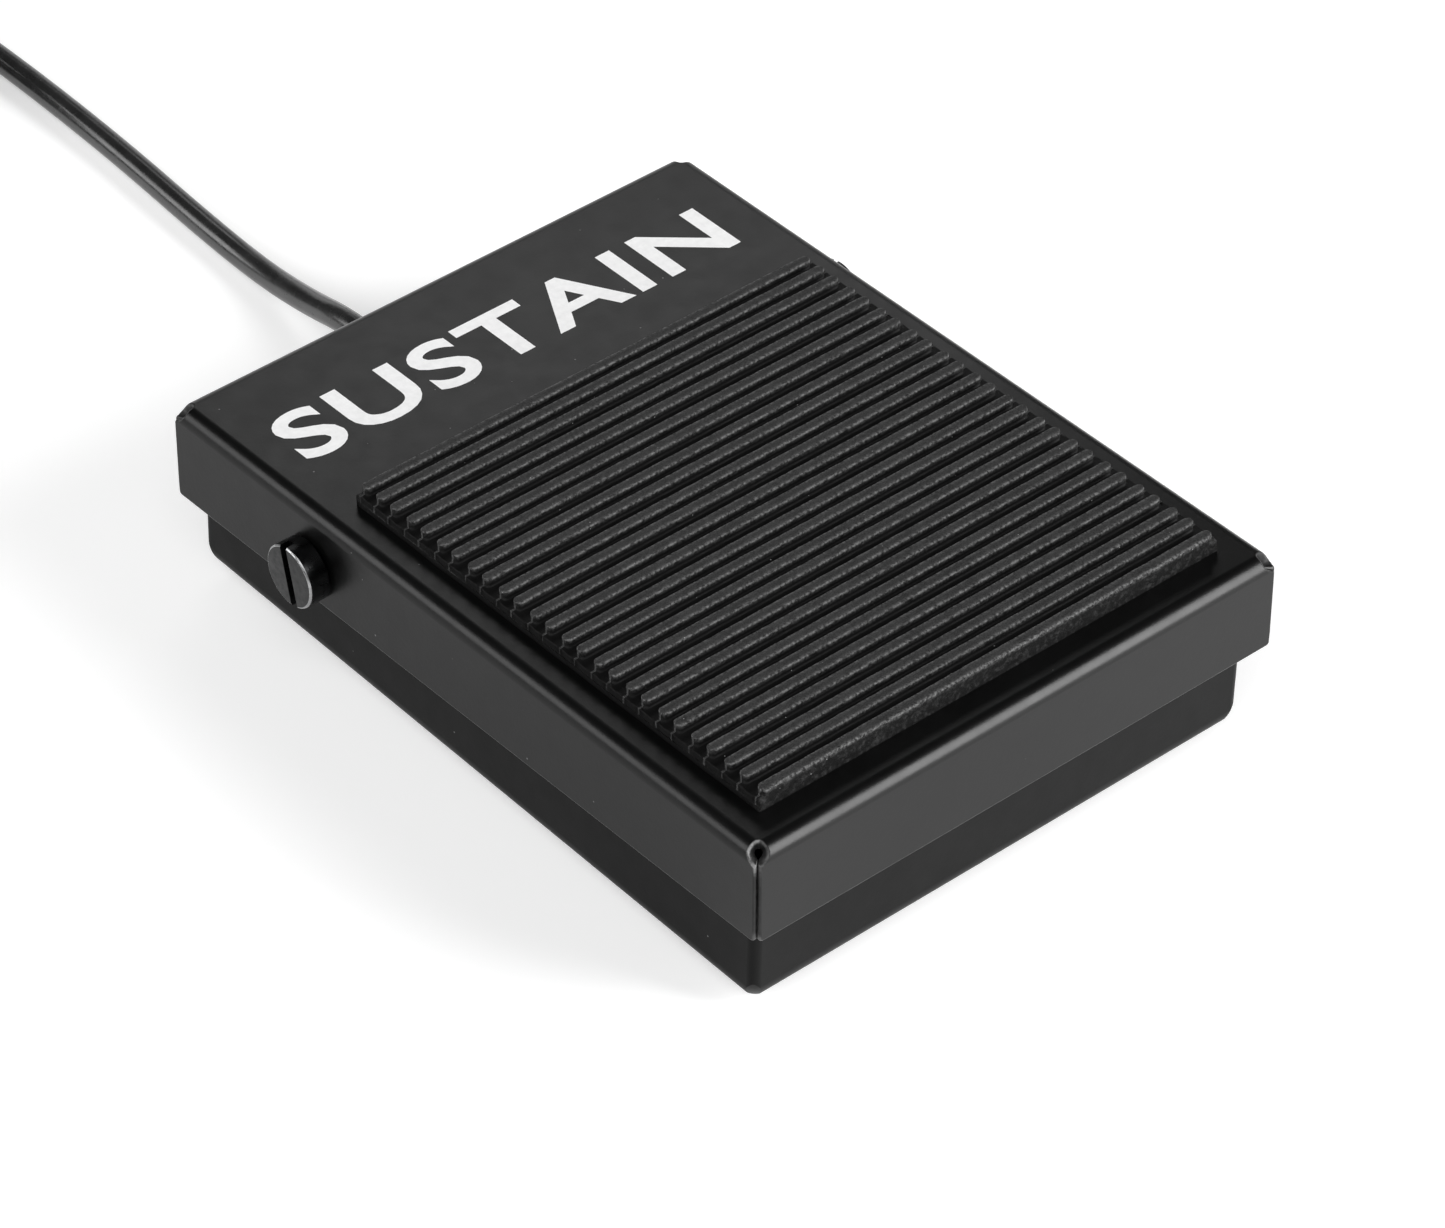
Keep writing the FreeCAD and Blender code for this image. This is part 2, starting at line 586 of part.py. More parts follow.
# ---------------------------------------------------------------- switch
def switch_block(z0, z1):
    """Block with the plan of the microswitch."""
    return box(SWITCH_X - SWITCH_WIDTH / 2, SWITCH_X + SWITCH_WIDTH / 2, SWITCH_Y - SWITCH_LENGTH / 2,
               SWITCH_Y + SWITCH_LENGTH / 2, z0, z1)


def switch_case():
    """Upper housing of the microswitch, hollow, with the plunger hole and two lever bosses."""
    half_w = SWITCH_WIDTH / 2
    case = switch_block(SWITCH_SPLIT, SWITCH_TOP)
    upright = [edge for edge in case.Edges if edge.Length < SWITCH_TOP - SWITCH_SPLIT + 0.01 and
               edge.BoundBox.ZLength > 1]
    case = case.makeFillet(0.6, upright)
    case = case.cut(box(SWITCH_X - SWITCH_CAVITY_HALF_X, SWITCH_X + SWITCH_CAVITY_HALF_X,
                        SWITCH_Y - SWITCH_CAVITY_HALF_Y, SWITCH_Y + SWITCH_CAVITY_HALF_Y,
                        SWITCH_SPLIT - 1, SWITCH_CAVITY_TOP))
    guide = rod(PLUNGER_RADIUS + SHOULDER_CLEARANCE, (SWITCH_X, PLUNGER_Y, SWITCH_CAVITY_TOP - 1),
                (SWITCH_X, PLUNGER_Y, SWITCH_TOP + 1))
    case = case.cut(guide)
    reach = half_w + SWITCH_BOSS_REACH
    boss = rod(SWITCH_BOSS_RADIUS, (SWITCH_X - reach, LEVER_Y, LEVER_Z), (SWITCH_X + reach, LEVER_Y, LEVER_Z))
    boss = boss.cut(box(SWITCH_X - 3, SWITCH_X + 3, 0, 30, 0, 30))
    return case.fuse(boss).removeSplitter()


def switch_base():
    """Lower half of the microswitch, drilled for its screws and slotted for the terminals."""
    base = switch_block(SWITCH_BOTTOM, SWITCH_SPLIT)
    for side in (-1, 1):
        y = SWITCH_Y + side * SWITCH_HOLE_HALF
        hole = rod(SWITCH_SCREW_RADIUS, (SWITCH_X - 9, y, SWITCH_HOLE_Z), (SWITCH_X + 9, y, SWITCH_HOLE_Z))
        base = base.cut(hole)
    for y in TERMINAL_YS:
        base = base.cut(tag_block(y, 0, 20))
    return base


def tag_block(y, z0, z1):
    """Flat upright block with the plan of a solder tag."""
    return box(SWITCH_X - TAG_HALF_WIDTH, SWITCH_X + TAG_HALF_WIDTH, y - TAG_HALF_THICKNESS,
               y + TAG_HALF_THICKNESS, z0, z1)


def switch_terminal(y):
    """Flat solder tag through the base, with a wire hole and a contact face inside."""
    tag = tag_block(y, SWITCH_BOTTOM - TAG_DROP, SWITCH_SPLIT + 0.6)
    return tag.cut(rod(TAG_HOLE_RADIUS, (SWITCH_X, y - 2, TAG_HOLE_Z), (SWITCH_X, y + 2, TAG_HOLE_Z)))


def switch_blade():
    """Contact leaf inside the housing, with its contact button."""
    front = SWITCH_Y - TAG_PITCH
    blade_top = BLADE_BOTTOM + BLADE_THICKNESS
    leaf = box(SWITCH_X - 1.4, SWITCH_X + 1.4, front + 0.2, SWITCH_Y + 7.2, BLADE_BOTTOM, blade_top)
    contact = rod(0.9, (SWITCH_X, front + 1.6, BLADE_BOTTOM - 0.5), (SWITCH_X, front + 1.6, BLADE_BOTTOM))
    return leaf.fuse(contact).removeSplitter()


def switch_plunger():
    """Plunger of the microswitch, with its collar inside the housing."""
    pin = rod(PLUNGER_RADIUS, (SWITCH_X, PLUNGER_Y, PLUNGER_FOOT), (SWITCH_X, PLUNGER_Y, PLUNGER_TOP))
    crown = [edge for edge in pin.Edges if edge.BoundBox.ZMin > PLUNGER_TOP - 0.01]
    pin = pin.makeFillet(0.35, crown[:1])
    collar = rod(PLUNGER_COLLAR_RADIUS, (SWITCH_X, PLUNGER_Y, PLUNGER_FOOT),
                 (SWITCH_X, PLUNGER_Y, PLUNGER_FOOT + PLUNGER_COLLAR))
    return pin.fuse(collar).removeSplitter()


def switch_lever():
    """Steel strip with two ears that hang on the housing's bosses."""
    half_w = SWITCH_WIDTH / 2 + LEVER_EAR_GAP
    under = LEVER_RISE
    top = LEVER_RISE + LEVER_THICKNESS
    strip = box(-2.1, 2.1, -LEVER_LENGTH, 1.0, under, top)
    yoke = box(-half_w - LEVER_THICKNESS, half_w + LEVER_THICKNESS, -1.2, 1.0, under, top)
    lever = strip.fuse(yoke)
    for side in (-1, 1):
        inner = side * half_w
        outer = side * (half_w + LEVER_THICKNESS)
        ear = box(min(inner, outer), max(inner, outer), -1.2, 1.0, -0.9, top)
        ear = ear.cut(rod(0.6, (inner - side, 0, 0), (outer + side, 0, 0)))
        lever = lever.fuse(ear)
    lever = lever.removeSplitter()
    lever.rotate(Vector(0, 0, 0), X_AXIS, -LEVER_TILT)
    lever.translate(Vector(SWITCH_X, LEVER_Y, LEVER_Z))
    return lever


def switch_bracket():
    """Folded steel angle that carries the switch: an upright web and a foot on the tray floor."""
    web_x = SWITCH_X + SWITCH_WIDTH / 2
    y0 = SWITCH_Y - BRACKET_HALF_LENGTH
    y1 = SWITCH_Y + BRACKET_HALF_LENGTH
    sheet = BRACKET_SHEET
    bend = 0.6
    outer = rounded_outline(web_x, web_x + BRACKET_FOOT, FLOOR_Z, BRACKET_TOP, (sheet + bend, 0, 0, 0))
    inner = rounded_outline(web_x + sheet, web_x + BRACKET_FOOT + 1, FLOOR_Z + sheet, BRACKET_TOP + 1,
                            (bend, 0, 0, 0))
    bracket = along_y(outer, y0, y1).cut(along_y(inner, y0 - 1, y1 + 1))
    for side in (-1, 1):
        y = SWITCH_Y + side * SWITCH_HOLE_HALF
        hole = rod(SWITCH_SCREW_RADIUS, (web_x - 1, y, SWITCH_HOLE_Z), (web_x + 3, y, SWITCH_HOLE_Z))
        bracket = bracket.cut(hole)
    for x, y in BRACKET_SCREWS:
        bracket = bracket.cut(rod(FLOOR_SCREW_RADIUS, (x, y, FLOOR_Z - 1), (x, y, FLOOR_Z + 3)))
    return bracket


def bracket_screw(x, y):
    """Pan head screw through the bracket's foot into the tray floor."""
    return floor_screw(x, y, FLOOR_Z + BRACKET_SHEET)


def switch_screw(side):
    """Small screw through the switch and the bracket's web."""
    screw = pan_screw(1.9, 1.3, SWITCH_SCREW_RADIUS, SWITCH_WIDTH + BRACKET_SHEET + SWITCH_NUT_THICKNESS + 0.6)
    screw.rotate(Vector(0, 0, 0), Y_AXIS, -90)
    screw.translate(Vector(SWITCH_X - SWITCH_WIDTH / 2, SWITCH_Y + side * SWITCH_HOLE_HALF, SWITCH_HOLE_Z))
    return screw


def switch_nut(side):
    """Small nut on the far side of the bracket's web."""
    nut = hexagon(4.0, SWITCH_NUT_THICKNESS).cut(Part.makeCylinder(SWITCH_SCREW_RADIUS, 4, Vector(0, 0, -1)))
    nut.rotate(Vector(0, 0, 0), Y_AXIS, 90)
    nut.translate(Vector(SWITCH_X + SWITCH_WIDTH / 2 + BRACKET_SHEET, SWITCH_Y + side * SWITCH_HOLE_HALF,
                         SWITCH_HOLE_Z))
    return nut


# ---------------------------------------------------------------- lead, inside the pedal
def strain_relief():
    """Soft bushing gripped by the rear wall, with a tapered boot round the lead."""
    inside = TRAY_END - SHEET
    flange = TRAY_END + BOOT_FLANGE
    body = rod(BOOT_INNER_RADIUS, (0, inside - 1.6, EXIT_Z), (0, inside, EXIT_Z))
    body = body.fuse(rod(BOOT_NECK_RADIUS, (0, inside, EXIT_Z), (0, TRAY_END, EXIT_Z)))
    body = body.fuse(rod(BOOT_FLANGE_RADIUS, (0, TRAY_END, EXIT_Z), (0, flange, EXIT_Z)))
    body = body.fuse(cone(BOOT_TAPER[0], BOOT_TAPER[1], (0, flange, EXIT_Z), (0, BOOT_END_Y, EXIT_Z)))
    return body.cut(rod(CORD_RADIUS, (0, inside - 5, EXIT_Z), (0, BOOT_END_Y + 1, EXIT_Z))).removeSplitter()


def cable_clamp():
    """Nylon block on the tray floor that holds the lead, so that a pull never reaches the solder joints."""
    block = box(CLAMP_LEFT, CLAMP_RIGHT, CLAMP_FRONT, CLAMP_REAR, FLOOR_Z, CLAMP_TOP)
    upright = [edge for edge in block.Edges if edge.BoundBox.ZLength > 5]
    block = block.makeFillet(1.0, upright)
    block = block.cut(rod(CORD_RADIUS, (0, 25, EXIT_Z), (0, 45, EXIT_Z)))
    x, y = CLAMP_SCREW
    return block.cut(rod(FLOOR_SCREW_RADIUS, (x, y, 0), (x, y, CLAMP_TOP + 1)))


def clamp_screw():
    """Pan head screw through the clamp into the tray floor."""
    return floor_screw(CLAMP_SCREW[0], CLAMP_SCREW[1], CLAMP_TOP)


def solder_joint(y, wire_end, wire):
    """Rounded bead of solder between a wire and its tag."""
    beyond = box(SWITCH_X - 0.6, SWITCH_X + 3, y - 2, y + 2, SWITCH_BOTTOM - 5, SWITCH_BOTTOM)
    return Part.makeSphere(1.0, Vector(*wire_end)).cut(wire).cut(switch_terminal(y).fuse(beyond))


# ---------------------------------------------------------------- lead, outside the pedal
def cable_coil():
    """Outer shape of the put-away turns: a round ring as wide and as high as the turns together."""
    face = Part.Face(rounded_outline(COIL_INNER, COIL_OUTER, 0, COIL_SIDE, (COIL_EDGE,) * 4))
    face.rotate(Vector(0, 0, 0), X_AXIS, 90)
    ring = face.revolve(Vector(0, 0, 0), Z_AXIS, 360)
    ring.translate(Vector(COIL_X, COIL_Y, 0))
    return ring


def coil_tie():
    """Hook-and-loop strap once round the turns, on the side away from the pedal."""
    outline = rounded_outline(COIL_INNER - TIE_THICKNESS, COIL_OUTER + TIE_THICKNESS, 0,
                              COIL_SIDE + TIE_THICKNESS, (0.4, 0.4, 2.0, 2.0))
    strap = along_y(outline, -TIE_WIDTH / 2, TIE_WIDTH / 2)
    strap.translate(Vector(COIL_X, COIL_Y, 0))
    strap = strap.cut(cable_coil())
    under = box(COIL_X + COIL_INNER, COIL_X + COIL_OUTER, COIL_Y - TIE_WIDTH, COIL_Y + TIE_WIDTH, -1, COIL_EDGE)
    strap = strap.cut(under)
    strap.rotate(Vector(COIL_X, COIL_Y, 0), Z_AXIS, TIE_ANGLE)
    return strap


def on_plug(shape):
    """Put a plug piece drawn along +X from the origin onto the end of the lead."""
    placed = shape.copy()
    placed.rotate(Vector(0, 0, 0), Z_AXIS, PLUG_HEADING)
    placed.translate(Vector(*CABLE_END_ROUTE[-1]))
    return placed


def plug_boot():
    """Tapered flexible sleeve behind the plug."""
    return on_plug(cone(2.2, 3.6, (0, 0, 0), (PLUG_BOOT_END, 0, 0)))


def plug_body():
    """Moulded grip of the plug, with three finger grooves and rounded ends."""
    body = rod(PLUG_BODY_RADIUS, (PLUG_BOOT_END, 0, 0), (PLUG_BODY_END, 0, 0))
    ends = [edge for edge in body.Edges if edge.BoundBox.XLength < 0.01]
    body = body.makeFillet(PLUG_BODY_EDGE, ends)
    core = rod(PLUG_BODY_RADIUS - PLUG_GROOVE_DEPTH, (PLUG_BOOT_END, 0, 0), (PLUG_BODY_END, 0, 0))
    for x in PLUG_GROOVES:
        groove = rod(PLUG_BODY_RADIUS + 1, (x, 0, 0), (x + PLUG_GROOVE_WIDTH, 0, 0))
        body = body.cut(groove.cut(core))
    return on_plug(body)


def plug_sleeve():
    """Collar and long sleeve contact of the 6.35 mm plug."""
    collar = rod(PLUG_COLLAR_RADIUS, (PLUG_BODY_END, 0, 0), (PLUG_COLLAR_END, 0, 0))
    sleeve = rod(PLUG_CONTACT_RADIUS, (PLUG_COLLAR_END, 0, 0), (PLUG_SLEEVE_END, 0, 0))
    return on_plug(collar.fuse(sleeve).removeSplitter())


def plug_insulator():
    """Black ring between the sleeve and the tip."""
    return on_plug(rod(PLUG_RING_RADIUS, (PLUG_SLEEVE_END, 0, 0), (PLUG_RING_END, 0, 0)))


def plug_tip():
    """Tip contact: a short cylinder, a waist and a blunt arrowhead."""
    x = PLUG_RING_END
    shank = 2.82
    waist = 2.05
    profile = [(x, 0), (x, shank), (x + 1.0, shank), (x + 3.0, waist), (x + 4.2, waist), (x + 5.4, shank),
               (x + 8.6, 1.35), (x + 9.1, 0.0), (x, 0)]
    outline = Part.makePolygon([Vector(px, pr, 0) for px, pr in profile])
    return on_plug(Part.Face(outline).revolve(Vector(0, 0, 0), X_AXIS, 360))


# ---------------------------------------------------------------- places that several pieces share
BUMPERS = [(-22.0, -37.0), (22.0, -37.0)]
BRACKET_SCREWS = [(SWITCH_X + 8.6, SWITCH_Y - 6.0), (SWITCH_X + 8.6, SWITCH_Y + 6.0)]
SCREWS_IN_FLOOR = BUMPERS + BRACKET_SCREWS + [CLAMP_SCREW]

TERMINAL_YS = (SWITCH_Y - TAG_PITCH, SWITCH_Y, SWITCH_Y + TAG_PITCH)
TAG_HOLE_Z = SWITCH_BOTTOM - TAG_HOLE_DROP

PRESSED = math.radians(TRAVEL - REST_TILT)   # slope of the foot plate at full travel
BUMPER_REACH = HINGE_Y - BUMPERS[0][1] + BUMPER_TOP_RADIUS
BUMPER_TOP = HINGE_Z + UNDER_Z * math.cos(PRESSED) - BUMPER_REACH * math.sin(PRESSED) - BUMPER_AIR
BUMPER_SCREW_SEAT = FLOOR_Z + BUMPER_SCREW_HEIGHT

LEVER_SLOPE = math.radians(LEVER_TILT)
PLUNGER_REACH = LEVER_Y - PLUNGER_Y - PLUNGER_RADIUS
PLUNGER_TOP = LEVER_Z + LEVER_RISE / math.cos(LEVER_SLOPE) + PLUNGER_REACH * math.tan(LEVER_SLOPE) - 0.15

INNER_ROUTE_END = 27.0
LEAD_COMMON_ROUTE = [(-0.75, INNER_ROUTE_END, EXIT_Z), (-0.75, 22.0, EXIT_Z), (1.5, 15.5, 5.0), (6.0, 8.5, 4.2),
                     (11.5, 3.2, 4.7), (SWITCH_X - 1.5, TERMINAL_YS[0] + 0.95, TAG_HOLE_Z)]
LEAD_OPEN_ROUTE = [(0.75, INNER_ROUTE_END, EXIT_Z), (0.75, 23.6, EXIT_Z), (4.5, 20.4, 5.6), (9.0, 18.0, 5.2),
                   (SWITCH_X - 1.5, TERMINAL_YS[2] + 0.95, TAG_HOLE_Z)]

CABLE_ROUTE = [(0.0, BOOT_END_Y, EXIT_Z), (0.0, 64.8, 6.6), (0.8, 73.6, 3.8), (1.7, 84.2, 1.7),
               (2.1, 97.0, 1.65), (3.0, 112.0, 1.6), (3.3, 130.0, 1.65), (2.9, 148.0, 1.6),
               (2.4, COIL_Y, 1.6)]
CABLE_END_ROUTE = [(COIL_X + 2.0, COIL_Y + 19.6, 11.2), (COIL_X - 9.0, COIL_Y + 20.6, 11.0),
                   (COIL_X - 20.0, COIL_Y + 18.0, 8.5), (COIL_X - 27.5, COIL_Y + 8.0, 6.2),
                   (COIL_X - 29.0, COIL_Y - 4.0, 6.0)]
LAST_RUN = Vector(*CABLE_END_ROUTE[-1]) - Vector(*CABLE_END_ROUTE[-2])
PLUG_HEADING = math.degrees(math.atan2(LAST_RUN.y, LAST_RUN.x))


def build():
    """Write every sub-part."""
    os.makedirs("parts", exist_ok=True)
    save("pedal_cover", tip_to_rest(pedal_cover()))
    save("tread_pad", tip_to_rest(tread_pad()))
    save("spring_cup", tip_to_rest(spring_cup()))
    save("actuator_button", tip_to_rest(actuator_button()))

    save("base_tray", base_tray())
    save("base_mat", base_mat())
    save("rest_stop_pad", rest_stop_pad())
    for side, label in ((-1, "left"), (1, "right")):
        save("pivot_screw_" + label, pivot_screw(side))
        save("pivot_spacer_" + label, pivot_spacer(side))
        save("pivot_nut_" + label, pivot_nut(side))
    save("spring_seat", spring_seat())
    save("return_spring", return_spring())
    save("stop_bumpers", Part.makeCompound([stop_bumper(x, y) for x, y in BUMPERS]))
    save("bumper_screws", Part.makeCompound([bumper_screw(x, y) for x, y in BUMPERS]))

    save("switch_case", switch_case())
    save("switch_base", switch_base())
    save("switch_terminals", Part.makeCompound([switch_terminal(y) for y in TERMINAL_YS]))
    save("switch_blade", switch_blade())
    save("switch_plunger", switch_plunger())
    save("switch_lever", switch_lever())
    save("switch_bracket", switch_bracket())
    save("bracket_screws", Part.makeCompound([bracket_screw(x, y) for x, y in BRACKET_SCREWS]))
    save("switch_screws", Part.makeCompound([switch_screw(side) for side in (-1, 1)]))
    save("switch_nuts", Part.makeCompound([switch_nut(side) for side in (-1, 1)]))

    save("strain_relief", strain_relief())
    save("cable_clamp", cable_clamp())
    save("clamp_screw", clamp_screw())
    save("inner_cable", rod(CORD_RADIUS, (0, INNER_ROUTE_END, EXIT_Z), (0, BOOT_END_Y, EXIT_Z)))
    lead_common = routed_tube("lead_common", LEAD_COMMON_ROUTE, WIRE_RADIUS)
    lead_open = routed_tube("lead_open", LEAD_OPEN_ROUTE, WIRE_RADIUS)
    save("lead_common", lead_common)
    save("lead_open", lead_open)
    save("solder_joints", Part.makeCompound([solder_joint(TERMINAL_YS[0], LEAD_COMMON_ROUTE[-1], lead_common),
                                             solder_joint(TERMINAL_YS[2], LEAD_OPEN_ROUTE[-1], lead_open)]))

    save("cable_lead", routed_tube("cable_lead", CABLE_ROUTE, CORD_RADIUS))
    save("cable_coil", cable_coil())
    save("coil_tie", coil_tie())
    save("cable_end", routed_tube("cable_end", CABLE_END_ROUTE, CORD_RADIUS))
    save("plug_boot", plug_boot())
    save("plug_body", plug_body())
    save("plug_sleeve", plug_sleeve())
    save("plug_insulator", plug_insulator())
    save("plug_tip", plug_tip())


build()
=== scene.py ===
"""Looks of the sustain pedal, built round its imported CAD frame.

Metres, in the row frame: +Z is up and z = 0 is the floor, the toe end points to -Y and the lead leaves to +Y.
Small dimensions are written in millimetres and carry the factor MM.
"""

import json
import math

import bmesh
import bpy
from mathutils import Matrix, Vector, noise
from mathutils.geometry import delaunay_2d_cdt


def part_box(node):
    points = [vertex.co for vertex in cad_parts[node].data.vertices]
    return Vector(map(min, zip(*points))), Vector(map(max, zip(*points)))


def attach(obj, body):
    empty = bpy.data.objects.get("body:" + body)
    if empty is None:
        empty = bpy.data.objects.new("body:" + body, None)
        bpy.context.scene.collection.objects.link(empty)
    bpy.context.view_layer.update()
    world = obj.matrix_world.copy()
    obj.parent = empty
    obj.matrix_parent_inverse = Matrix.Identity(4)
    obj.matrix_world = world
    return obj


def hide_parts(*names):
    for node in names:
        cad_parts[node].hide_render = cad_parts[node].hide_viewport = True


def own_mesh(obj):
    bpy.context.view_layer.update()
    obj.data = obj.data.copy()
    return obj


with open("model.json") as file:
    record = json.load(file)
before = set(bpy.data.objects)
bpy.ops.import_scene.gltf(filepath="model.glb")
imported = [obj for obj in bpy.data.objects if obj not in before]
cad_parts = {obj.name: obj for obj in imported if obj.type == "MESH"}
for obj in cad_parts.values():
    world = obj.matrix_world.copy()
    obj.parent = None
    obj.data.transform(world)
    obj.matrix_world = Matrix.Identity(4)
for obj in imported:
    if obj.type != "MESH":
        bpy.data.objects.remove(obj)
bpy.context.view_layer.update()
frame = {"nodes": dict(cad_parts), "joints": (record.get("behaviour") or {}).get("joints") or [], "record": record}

MM = 0.001

# ---------------------------------------------------------------- view and light
CAMERA_AZIMUTH = -41.834
CAMERA_ELEVATION = 40.793
CAMERA_ROLL = 1.534
CAMERA_DISTANCE = 0.71063
CAMERA_AIM = Vector((0.00193, 0.00091, 0.00348))
CAMERA_LENS = 160.03

LIGHTS = (                  # name, direction, distance, width, height, power
    ("key", (0.518, -0.769, 0.400), 1.1, 0.55, 0.87, 16.0),
    ("fill", (-0.62, -0.30, 0.72), 1.3, 1.2, 1.2, 10.0),
    ("rear_left", (-0.750, 0.564, 0.380), 0.9, 0.60, 0.42, 3.2),
    ("low_rear", (0.50, 0.83, 0.20), 0.9, 0.70, 0.24, 0.55),
    ("rear", (0.200, 0.280, 0.265), 0.36, 0.17, 0.10, 0.09),
)
FLOOR_HALF = 3.0
FLOOR_DROP = 0.0002         # keeps the floor clear of what stands on it
FLOOR_GLOW = 0.36

# ---------------------------------------------------------------- foot plate, as in the CAD
HINGE = next(Vector(j["pos_m"]) for j in frame["joints"] if j["name"] == "pedal_hinge")
REST_TILT = math.radians(1.5)
PLATE = Matrix.Translation(HINGE) @ Matrix.Rotation(-REST_TILT, 4, "X") @ Matrix.Scale(MM, 4)
SHEET = 1.2
COVER_WIDTH = 74.0
COVER_LENGTH = 98.0
COVER_HEIGHT = 12.15
COVER_BEND = 1.8
TOP_Z = 7.7                 # top face above the hinge axis
HINGE_TO_REAR = 24.4
HINGE_BORE = 2.55

PAD_WIDTH = 64.7
PAD_REAR = -2.7
PAD_BASE = 1.6
PAD_HEIGHT = 2.6
RIB_COUNT = 26
RIB_WIDTH = 1.33
RIB_STEP_SHORT = 2.39
RIB_STEP_LONG = 2.80

# ---------------------------------------------------------------- lead, as in the CAD
CORD_RADIUS = 1.6 * MM
EXIT_Z = 6.6 * MM
BOOT_END_Y = 58.6 * MM
COIL_CENTRE = Vector((-20.4 * MM, 163.0 * MM, 0.0))
COIL_RADII = (22.8, 19.6, 16.4, 13.2)
TIE_ANGLE = math.radians(290.0)
CABLE_ROUTE = [(0.0, BOOT_END_Y, EXIT_Z), (0.0, 0.0648, 0.0066), (0.0008, 0.0736, 0.0038),
               (0.0017, 0.0842, 0.0017), (0.0021, 0.0970, 0.00165), (0.0030, 0.1120, 0.0016),
               (0.0033, 0.1300, 0.00165), (0.0029, 0.1480, 0.0016)]
CABLE_END_ROUTE = [(-0.0184, 0.1826, 0.0112), (-0.0294, 0.1836, 0.0110), (-0.0404, 0.1810, 0.0085),
                   (-0.0479, 0.1710, 0.0062), (-0.0494, 0.1590, 0.0060)]


# ---------------------------------------------------------------- helpers
WELD = 2e-6                 # points closer than this become one
SLIVER = 1e-7               # and edges shorter than this are dropped


def link(name, data):
    """New object in the scene that shows some data."""
    made = bpy.data.objects.new(name, data)
    bpy.context.scene.collection.objects.link(made)
    return made


def face_outward(mesh, weld=0.0, sliver=0.0):
    """Outward normals, after points within weld are joined and edges within sliver dropped."""
    bm = bmesh.new()
    bm.from_mesh(mesh)
    if weld:
        bmesh.ops.remove_doubles(bm, verts=bm.verts, dist=weld)
    if sliver:
        bmesh.ops.dissolve_degenerate(bm, edges=bm.edges, dist=sliver)
    bmesh.ops.recalc_face_normals(bm, faces=bm.faces)
    bm.to_mesh(mesh)
    bm.free()


def new_piece(name, vertices, faces, material, place):
    """Mesh object from points and faces, smooth shaded, with outward normals."""
    mesh = bpy.data.meshes.new(name)
    mesh.from_pydata([place @ Vector(v) for v in vertices], [], faces)
    face_outward(mesh, WELD, SLIVER)
    mesh.shade_smooth()
    mesh.materials.append(material)
    return link(name, mesh)


def put(piece, body, slot, *nodes):
    """The piece rides on a body and stands for CAD nodes, which it hides; its slot is not used."""
    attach(piece, body)
    if nodes:
        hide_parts(*nodes)
    return piece


def rounded_line(points, radius, steps=4):
    """Polyline with each inner corner replaced by a small curve."""
    points = [Vector((p[0], p[1], 0.0)) for p in points]
    out = [points[0]]
    for before, here, after in zip(points, points[1:], points[2:]):
        reach = min(radius, 0.45 * (before - here).length, 0.45 * (after - here).length)
        a = here + (before - here).normalized() * reach
        b = here + (after - here).normalized() * reach
        for k in range(steps + 1):
            t = k / steps
            out.append(a * (1 - t) ** 2 + here * 2 * t * (1 - t) + b * t ** 2)
    out.append(points[-1])
    return [(p.x, p.y) for p in out]


def skin(rings, capped=False):
    """Points and faces of a tube through closed rings of equal point count, with flat ends if capped."""
    count = len(rings[0])
    vertices = [p for ring in rings for p in ring]
    faces = []
    for here in range(0, len(vertices) - count, count):
        after = here + count
        for k in range(count):
            n = (k + 1) % count
            faces.append((here + k, here + n, after + n, after + k))
    if capped:
        faces += [tuple(range(count)), tuple(len(vertices) - 1 - k for k in range(count))]
    return vertices, faces


def lathe(name, profile, material, place, segments):
    """Solid of revolution about local +X: the profile is (along, radius) in millimetres."""
    angles = [2 * math.pi * k / segments for k in range(segments)]
    rings = [[(along, radius * math.cos(a), radius * math.sin(a)) for a in angles]
             for along, radius in profile]
    return new_piece(name, *skin(rings), material, place @ Matrix.Scale(MM, 4))


def applied(piece):
    """The mesh that an object's own settings and modifiers make."""
    bpy.context.view_layer.update()
    graph = bpy.context.evaluated_depsgraph_get()
    return bpy.data.meshes.new_from_object(piece.evaluated_get(graph))


def cut(piece, cutter):
    """Boolean difference, applied; the cutter is removed."""
    modifier = piece.modifiers.new("cut", "BOOLEAN")
    modifier.operation = "DIFFERENCE"
    modifier.solver = "EXACT"
    modifier.object = cutter
    made = applied(piece)
    piece.modifiers.clear()
    piece.data = made
    bpy.data.objects.remove(cutter)


# ---------------------------------------------------------------- materials
SHADED_FLANK_SHINE = 0.56          # share of the shine left on faces that look along X: painted shade that darkens the side flanges
